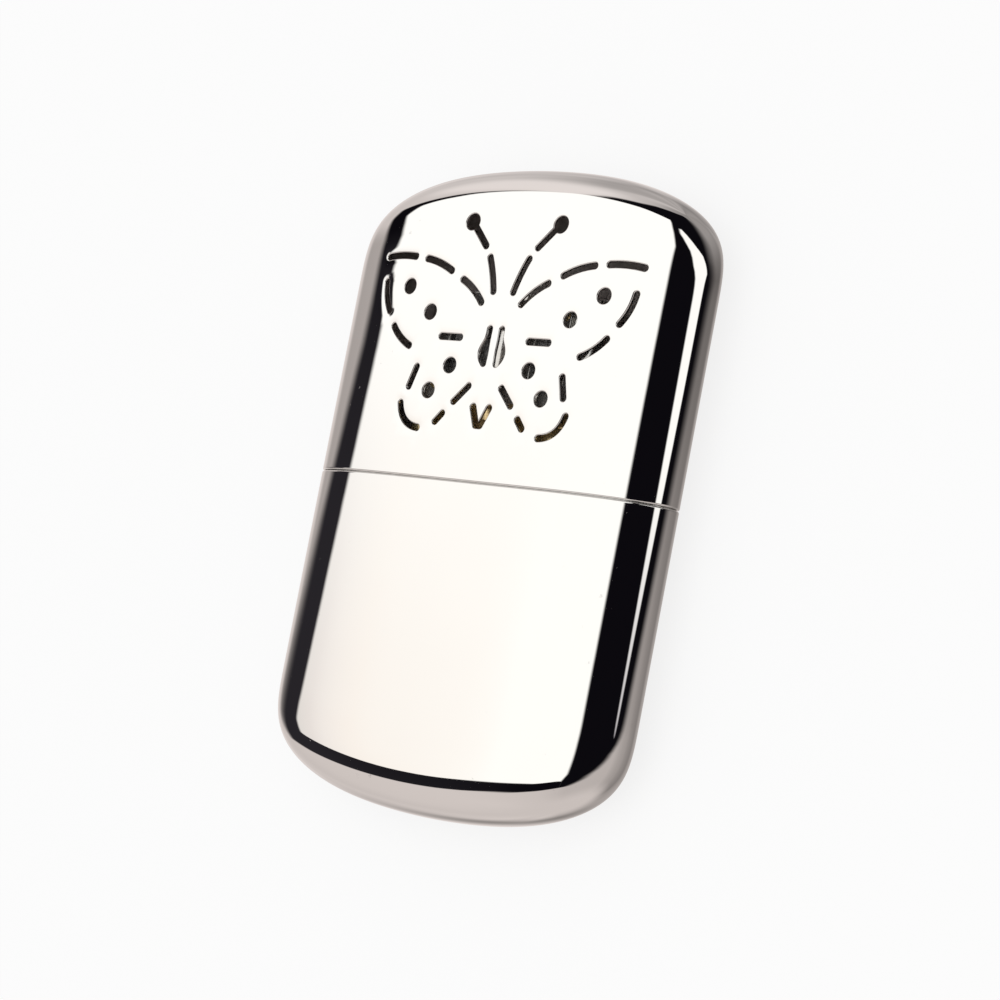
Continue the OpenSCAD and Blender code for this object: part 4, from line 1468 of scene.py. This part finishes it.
DARK_RIGHT = (
    (-40, -40), (-34, 0), (-30, 12), (-28, 16), (-24, 20), (-20, 29), (-16, 35), (-12, 42),
    (-8, 47), (-4, 57), (0, 69), (4, 83), (8, 96), (12, 104), (16, 103), (20, 98), (28, 87),
    (36, 82), (44, 79), (52, 75), (60, 68), (70, 60), (78, 40), (84, -60))
# Softness of the dark card's two edges, as (height, degrees)
DARK_LEFT_SOFT = ((-20, 3), (-10, 8), (-4, 14), (2, 15), (5, 6), (10, 3.5), (30, 2.5))
DARK_RIGHT_SOFT = ((-40, 9), (-4, 12), (0, 14), (4, 16), (8, 24), (14, 30), (70, 30))
MAIN_SOFT, SIDE_SOFT = 1.3, 2.0
# Tones of the surround by bearing and of its far wall by height
SURROUND = (
    (-180, 0.45), (-152, 0.52), (-141, 0.82), (-132, 0.70), (-120, 0.85), (-108, 0.76),
    (-98, 0.72), (-90, 0.71), (-70, 0.76), (-45, 0.78), (-20, 0.72), (0, 0.61), (60, 0.58),
    (75, 0.50), (90, 0.45), (105, 0.42), (120, 0.36), (150, 0.28), (165, 0.40), (180, 0.45))
FAR_WALL = ((4, 0.22), (14, 0.16), (26, 0.22), (38, 0.29), (50, 0.34), (62, 0.38))
UNDERSIDE = 0.73
# Parts of the surround that are duller or brighter: the factor, then the bearings from and to
# and the heights from and to, each as (degrees, softness), or None where a part has no edge
DULLER = (
    (0.42, (-160, 18), (-118, 18), (-50, 12), (-28, 16)),
    (0.86, None, None, (52, 7), None),
    (0.744, (-164, 14), (-66, 8), (52, 7), None),
    (0.66, (-98, 6), (-60, 6), (-9, 4), (15, 4)),
    (0.62, (-42, 14), (84, 20), (66, 12), None),
    (0.78, None, (-106, 10), (35, 8), (60, 8)),
    (1.22, (-82, 12), (-46, 6), (34, 4), (54, 8)),
)
FAR_WALL_PART = ((72, 22), (162, 16), (5, 6), None)
UNDERSIDE_PART = (None, None, None, (-58, 16))
OVERHEAD_PART = (None, None, (30, 22), None)
CARD_LIT_PART = (None, (-45, 20), None, (9, 6))
SIDE_UPPER_PART = (None, None, (3, 4), None)
MAIN_FOOT_PART = (None, None, None, (4.5, 5))
WALL_TINT, OVERHEAD_TINT = (1.0, 0.912, 0.885), (1.0, 0.93, 0.915)
CARD, CARD_LIT = (0.0035, 0.003, 0.0045), (0.020, 0.018, 0.022)
SIDE_GLOW, SIDE_FOOT_GLOW, MAIN_GLOW = (1.26, 1.25, 1.23), (0.46, 0.43, 0.47), (1.30, 1.29, 1.27)
# Colour of the main softbox's foot by bearing
MAIN_FOOT_GLOW = (
    (-66, (0.93, 0.89, 0.86)), (-58, (1.0, 0.94, 0.91)), (-52, (1.10, 1.04, 1.0)),
    (-45, (1.20, 1.13, 1.07)), (-36, (1.28, 1.27, 1.24)))
# A ramp's colours end at 1, so brighter ones are stored as a share of these
SURROUND_PEAK, GLOW_PEAK, SOFT_PEAK = 1.25, 1.3, 100.0
DEGREES = 57.29578


class Studio(Tree):
    """Shader tree that knows the bearing and height of the direction that is looked up."""

    def __init__(self, tree):
        super().__init__(tree)
        x, y, z = self.add("SeparateXYZ", {0: self.add("TexCoord").outputs["Generated"]}).outputs
        self.bearing = self.math("MULTIPLY", self.math("ARCTAN2", x, z), DEGREES)
        self.height = self.math("MULTIPLY", self.math("ARCSINE", y), DEGREES)
        self.around = self.math("MULTIPLY_ADD", self.bearing, 1 / 360, 0.5)
        self.above = self.math("MULTIPLY_ADD", self.height, 1 / 180, 0.5)

    def by_bearing(self, rows, peak):
        """Ramp through rows of (bearing, value), as shares of the peak."""
        return self.ramp(self.around, [((b + 180) / 360, np.divide(v, peak)) for b, v in rows])

    def by_height(self, rows, peak):
        """Ramp through rows of (height, value), as shares of the peak."""
        return self.ramp(self.above, [((h + 90) / 180, np.divide(v, peak)) for h, v in rows])

    def edge(self, corners):
        """Bearing of an edge at the height looked up."""
        turned = self.by_height([(h, b + 180) for h, b in corners], 360)
        return self.math("MULTIPLY_ADD", turned, 360.0, -180.0)

    def softness(self, rows):
        return self.math("MULTIPLY", self.by_height(rows, SOFT_PEAK), SOFT_PEAK)

    def soft_step(self, value, width):
        """0 below, 1 above, smooth over the width on both sides of zero."""
        inputs = {"Value": value, "From Min": -width, "From Max": width}
        return self.add("MapRange", inputs, interpolation_type="SMOOTHSTEP").outputs[0]

    def part(self, bearing_from, bearing_to, height_from, height_to):
        """Soft mask of a part of the studio, the product of one soft step for each edge."""
        mask = None
        for value, start, stop in ((self.bearing, bearing_from, bearing_to),
                                   (self.height, height_from, height_to)):
            for edge, order in ((start, (value, 0)), (stop, (0, value))):
                if edge:
                    place, width = edge
                    first, second = (v if v is value else float(place) for v in order)
                    step = self.soft_step(self.math("SUBTRACT", first, second), width)
                    mask = self.math("MULTIPLY", mask, step) if mask else step
        return mask

    def between(self, left, right, width):
        """Soft mask of the bearings between two edges."""
        past, short = (self.math("SUBTRACT", self.bearing, self.edge(left)),
                       self.math("SUBTRACT", self.edge(right), self.bearing))
        return self.soft_step(self.math("MINIMUM", past, short), width)

    def mixed(self, share, first, second):
        """first*(1 - share) + second*share, of plain numbers."""
        rest = self.math("SUBTRACT", 1.0, share)
        return self.math("ADD", self.math("MULTIPLY", first, rest),
                         self.math("MULTIPLY", second, share))

    def surround(self):
        """Pale surround: tones by bearing, its parts, the far wall and the underside."""
        grey = self.by_bearing(SURROUND, SURROUND_PEAK)
        for factor, *part in DULLER:
            keep = self.math("MULTIPLY_ADD", self.part(*part), factor - 1, 1.0)
            grey = self.math("MULTIPLY", grey, keep)
        grey = self.mixed(self.part(*FAR_WALL_PART), grey, self.by_height(FAR_WALL, SURROUND_PEAK))
        grey = self.mixed(self.part(*UNDERSIDE_PART), grey, UNDERSIDE / SURROUND_PEAK)
        warmth = self.blend(self.part(*OVERHEAD_PART), WALL_TINT, OVERHEAD_TINT)
        grey = self.add("CombineColor", {0: grey, 1: grey, 2: grey}).outputs[0]
        return self.blend(1.0, grey, warmth, "MULTIPLY")

    def dark_card(self):
        """Soft mask of the dark card; each edge has its own softness, which varies."""
        left = self.math("SUBTRACT", self.bearing, self.edge(DARK_LEFT))
        left = self.math("DIVIDE", left, self.softness(DARK_LEFT_SOFT))
        right = self.math("SUBTRACT", self.bearing, self.edge(DARK_RIGHT))
        right = self.math("DIVIDE", right, self.softness(DARK_RIGHT_SOFT))
        return self.math("MULTIPLY", self.soft_step(left, 1.0),
                         self.soft_step(self.math("MULTIPLY", right, -1.0), 1.0))

    def seen(self):
        """What polished metal shows, one thing over the other."""
        card = self.blend(self.part(*CARD_LIT_PART), CARD, CARD_LIT)
        seen = self.scaled(self.blend(self.dark_card(), self.surround(), card), SURROUND_PEAK)
        side_glow = self.blend(self.part(*SIDE_UPPER_PART), SIDE_FOOT_GLOW, SIDE_GLOW)
        seen = self.blend(self.between(SIDE_LEFT, SIDE_RIGHT, SIDE_SOFT), seen, side_glow)
        foot_glow = self.scaled(self.by_bearing(MAIN_FOOT_GLOW, GLOW_PEAK), GLOW_PEAK)
        main_glow = self.blend(self.part(*MAIN_FOOT_PART), MAIN_GLOW, foot_glow)
        return self.blend(self.between(MAIN_LEFT, MAIN_RIGHT, MAIN_SOFT), seen, main_glow)


def studio_world(fill_level):
    """World: plain white to the camera, an even fill to soft surfaces, and to polished metal a
    studio with a large softbox on the left, a smaller one on the right and dark cards between
    and around them over a pale surround."""
    world = bpy.data.worlds.new("studio")
    world.use_nodes = True
    studio = Studio(world.node_tree)
    path = studio.add("LightPath").outputs
    polished = studio.math("MAXIMUM", path["Is Glossy Ray"], path["Is Transmission Ray"])
    light = studio.blend(polished, (fill_level,) * 3, studio.seen())
    light = studio.blend(path["Is Camera Ray"], light, (1.0, 1.0, 1.0))
    background = studio.add("Background", {"Color": light})
    studio.add("OutputWorld", {"Surface": background.outputs[0]})
    # The light differs by kind of ray, so it is only gathered by rays that say what they are
    world.cycles.sampling_method = "NONE"
    bpy.context.scene.world = world


# ---- Stage -----------------------------------------------------------------------------

FLOOR_RADIUS, FLOOR_DROP, FLOOR_SIDES = 4.0, 0.03 * MM, 64
FLOOR_WHITE = 0.8  # share of plain white in the floor that the camera sees
LAMP_PLACE, LAMP_SIZE = (0.5, 0.1, 1.9), 2.4


def floor_finish(shade):
    """Matt pale floor. The camera sees it mixed with plain white, so that it ends in white
    and its shadow stays faint."""
    material, tree, place = new_finish("floor")
    paper = tree.ramp(tree.noise(place, 8, 3.0), ((0.3, tinted(shade, 0.995)), (0.7, tuple(shade))))
    diffuse = tree.add("BsdfDiffuse", {"Color": paper})
    white = tree.add("Emission", {"Color": (1, 1, 1, 1), "Strength": 1.0})
    share = tree.math("MULTIPLY", tree.add("LightPath").outputs["Is Camera Ray"], FLOOR_WHITE)
    mixed = tree.add("MixShader", {0: share, 1: diffuse.outputs[0], 2: white.outputs[0]})
    tree.add("OutputMaterial", {"Surface": mixed.outputs[0]})
    return material


class BuildStage(bpy.types.Operator):
    """Set up the floor, the soft lamp, the studio and the camera"""
    bl_idname = "warmer.stage"
    bl_label = "Stage"

    def execute(self, context):
        scene = context.scene
        stage = scene.warmer_stage
        self.floor(scene, stage)
        self.lamp(scene, stage)
        self.camera(scene, stage)
        studio_world(stage.fill)
        scene.view_settings.view_transform = "Standard"
        return {"FINISHED"}

    def floor(self, scene, stage):
        """Round floor just under the case."""
        angle = np.linspace(0, 2 * np.pi, FLOOR_SIDES, endpoint=False)
        rim = column(FLOOR_RADIUS * circle(angle), -FLOOR_DROP)
        mesh = bpy.data.meshes.new("floor")
        mesh.from_pydata(rim.tolist(), [], [list(range(FLOOR_SIDES))])
        mesh.materials.append(floor_finish(stage.floor))
        floor = bpy.data.objects.new("floor", mesh)
        floor.visible_glossy = False
        scene.collection.objects.link(floor)

    def lamp(self, scene, stage):
        """Square soft lamp that lights the floor below it by its share of the light: a lamp
        of energy E gives E*slant / (pi*distance)^2."""
        lamp = bpy.data.objects.new("softbox", bpy.data.lights.new("softbox", "AREA"))
        lamp.data.shape, lamp.data.size = "SQUARE", LAMP_SIZE
        place = Vector(LAMP_PLACE)
        slant = place.z / place.length
        lamp.data.energy = stage.lamp * np.pi ** 2 * place.length ** 2 / slant
        lamp.location = place
        lamp.rotation_euler = (-place).to_track_quat("-Z", "Y").to_euler()
        lamp.visible_glossy = lamp.visible_camera = False
        scene.collection.objects.link(lamp)

    def camera(self, scene, stage):
        """Camera at its place, aimed and then rolled about its line of sight from upright +Y."""
        camera = bpy.data.objects.new("camera", bpy.data.cameras.new("camera"))
        camera.data.lens, camera.data.sensor_width = stage.lens, 36
        camera.data.clip_start = 0.01
        spot = Vector(stage.camera)
        ahead = (Vector(stage.aim) - spot).normalized()
        level = ahead.cross(Vector((0, 1, 0))).normalized()
        upright = level.cross(ahead)
        right = level * np.cos(stage.roll) + upright * np.sin(stage.roll)
        turn = Matrix((right, right.cross(ahead), -ahead)).transposed()
        camera.matrix_world = Matrix.Translation(spot) @ turn.to_4x4()
        scene.collection.objects.link(camera)
        scene.camera = camera


# ---- Panel and start -------------------------------------------------------------------

SETTINGS = {
    "warmer_case": CaseSizes, "warmer_vents": VentSizes, "warmer_fittings": FittingSizes,
    "warmer_burner": BurnerSizes, "warmer_finishes": Finishes, "warmer_stage": StageSettings}
OPERATORS = (BuildCap, BuildTank, BuildMouth, BuildFillings, BuildBurner, BuildCatalyst, BuildStage)


class WarmerPanel(bpy.types.Panel):
    """Sidebar panel that lists every piece of the warmer and the stage"""
    bl_idname = "VIEW3D_PT_warmer"
    bl_label = "Hand warmer"
    bl_space_type = "VIEW_3D"
    bl_region_type = "UI"
    bl_category = "Hand warmer"

    def draw(self, context):
        for operator in OPERATORS:
            self.layout.operator(operator.bl_idname)
        for name, group in SETTINGS.items():
            box = self.layout.box()
            box.label(text=group.__doc__)
            for key in group.__annotations__:
                box.prop(getattr(context.scene, name), key)


CLASSES = (*SETTINGS.values(), *OPERATORS, WarmerPanel)


def register():
    """Registers the settings, the operators and the panel."""
    for group in CLASSES:
        bpy.utils.register_class(group)
    for name, group in SETTINGS.items():
        setattr(bpy.types.Scene, name, bpy.props.PointerProperty(type=group))


def unregister():
    """Takes them away again, last one first."""
    for name in SETTINGS:
        delattr(bpy.types.Scene, name)
    for group in reversed(CLASSES):
        bpy.utils.unregister_class(group)


def main():
    """Registers the settings and builds everything in order."""
    register()
    for operator in OPERATORS:
        group, name = operator.bl_idname.split(".")
        getattr(getattr(bpy.ops, group), name)()


if __name__ == "__main__":
    main()
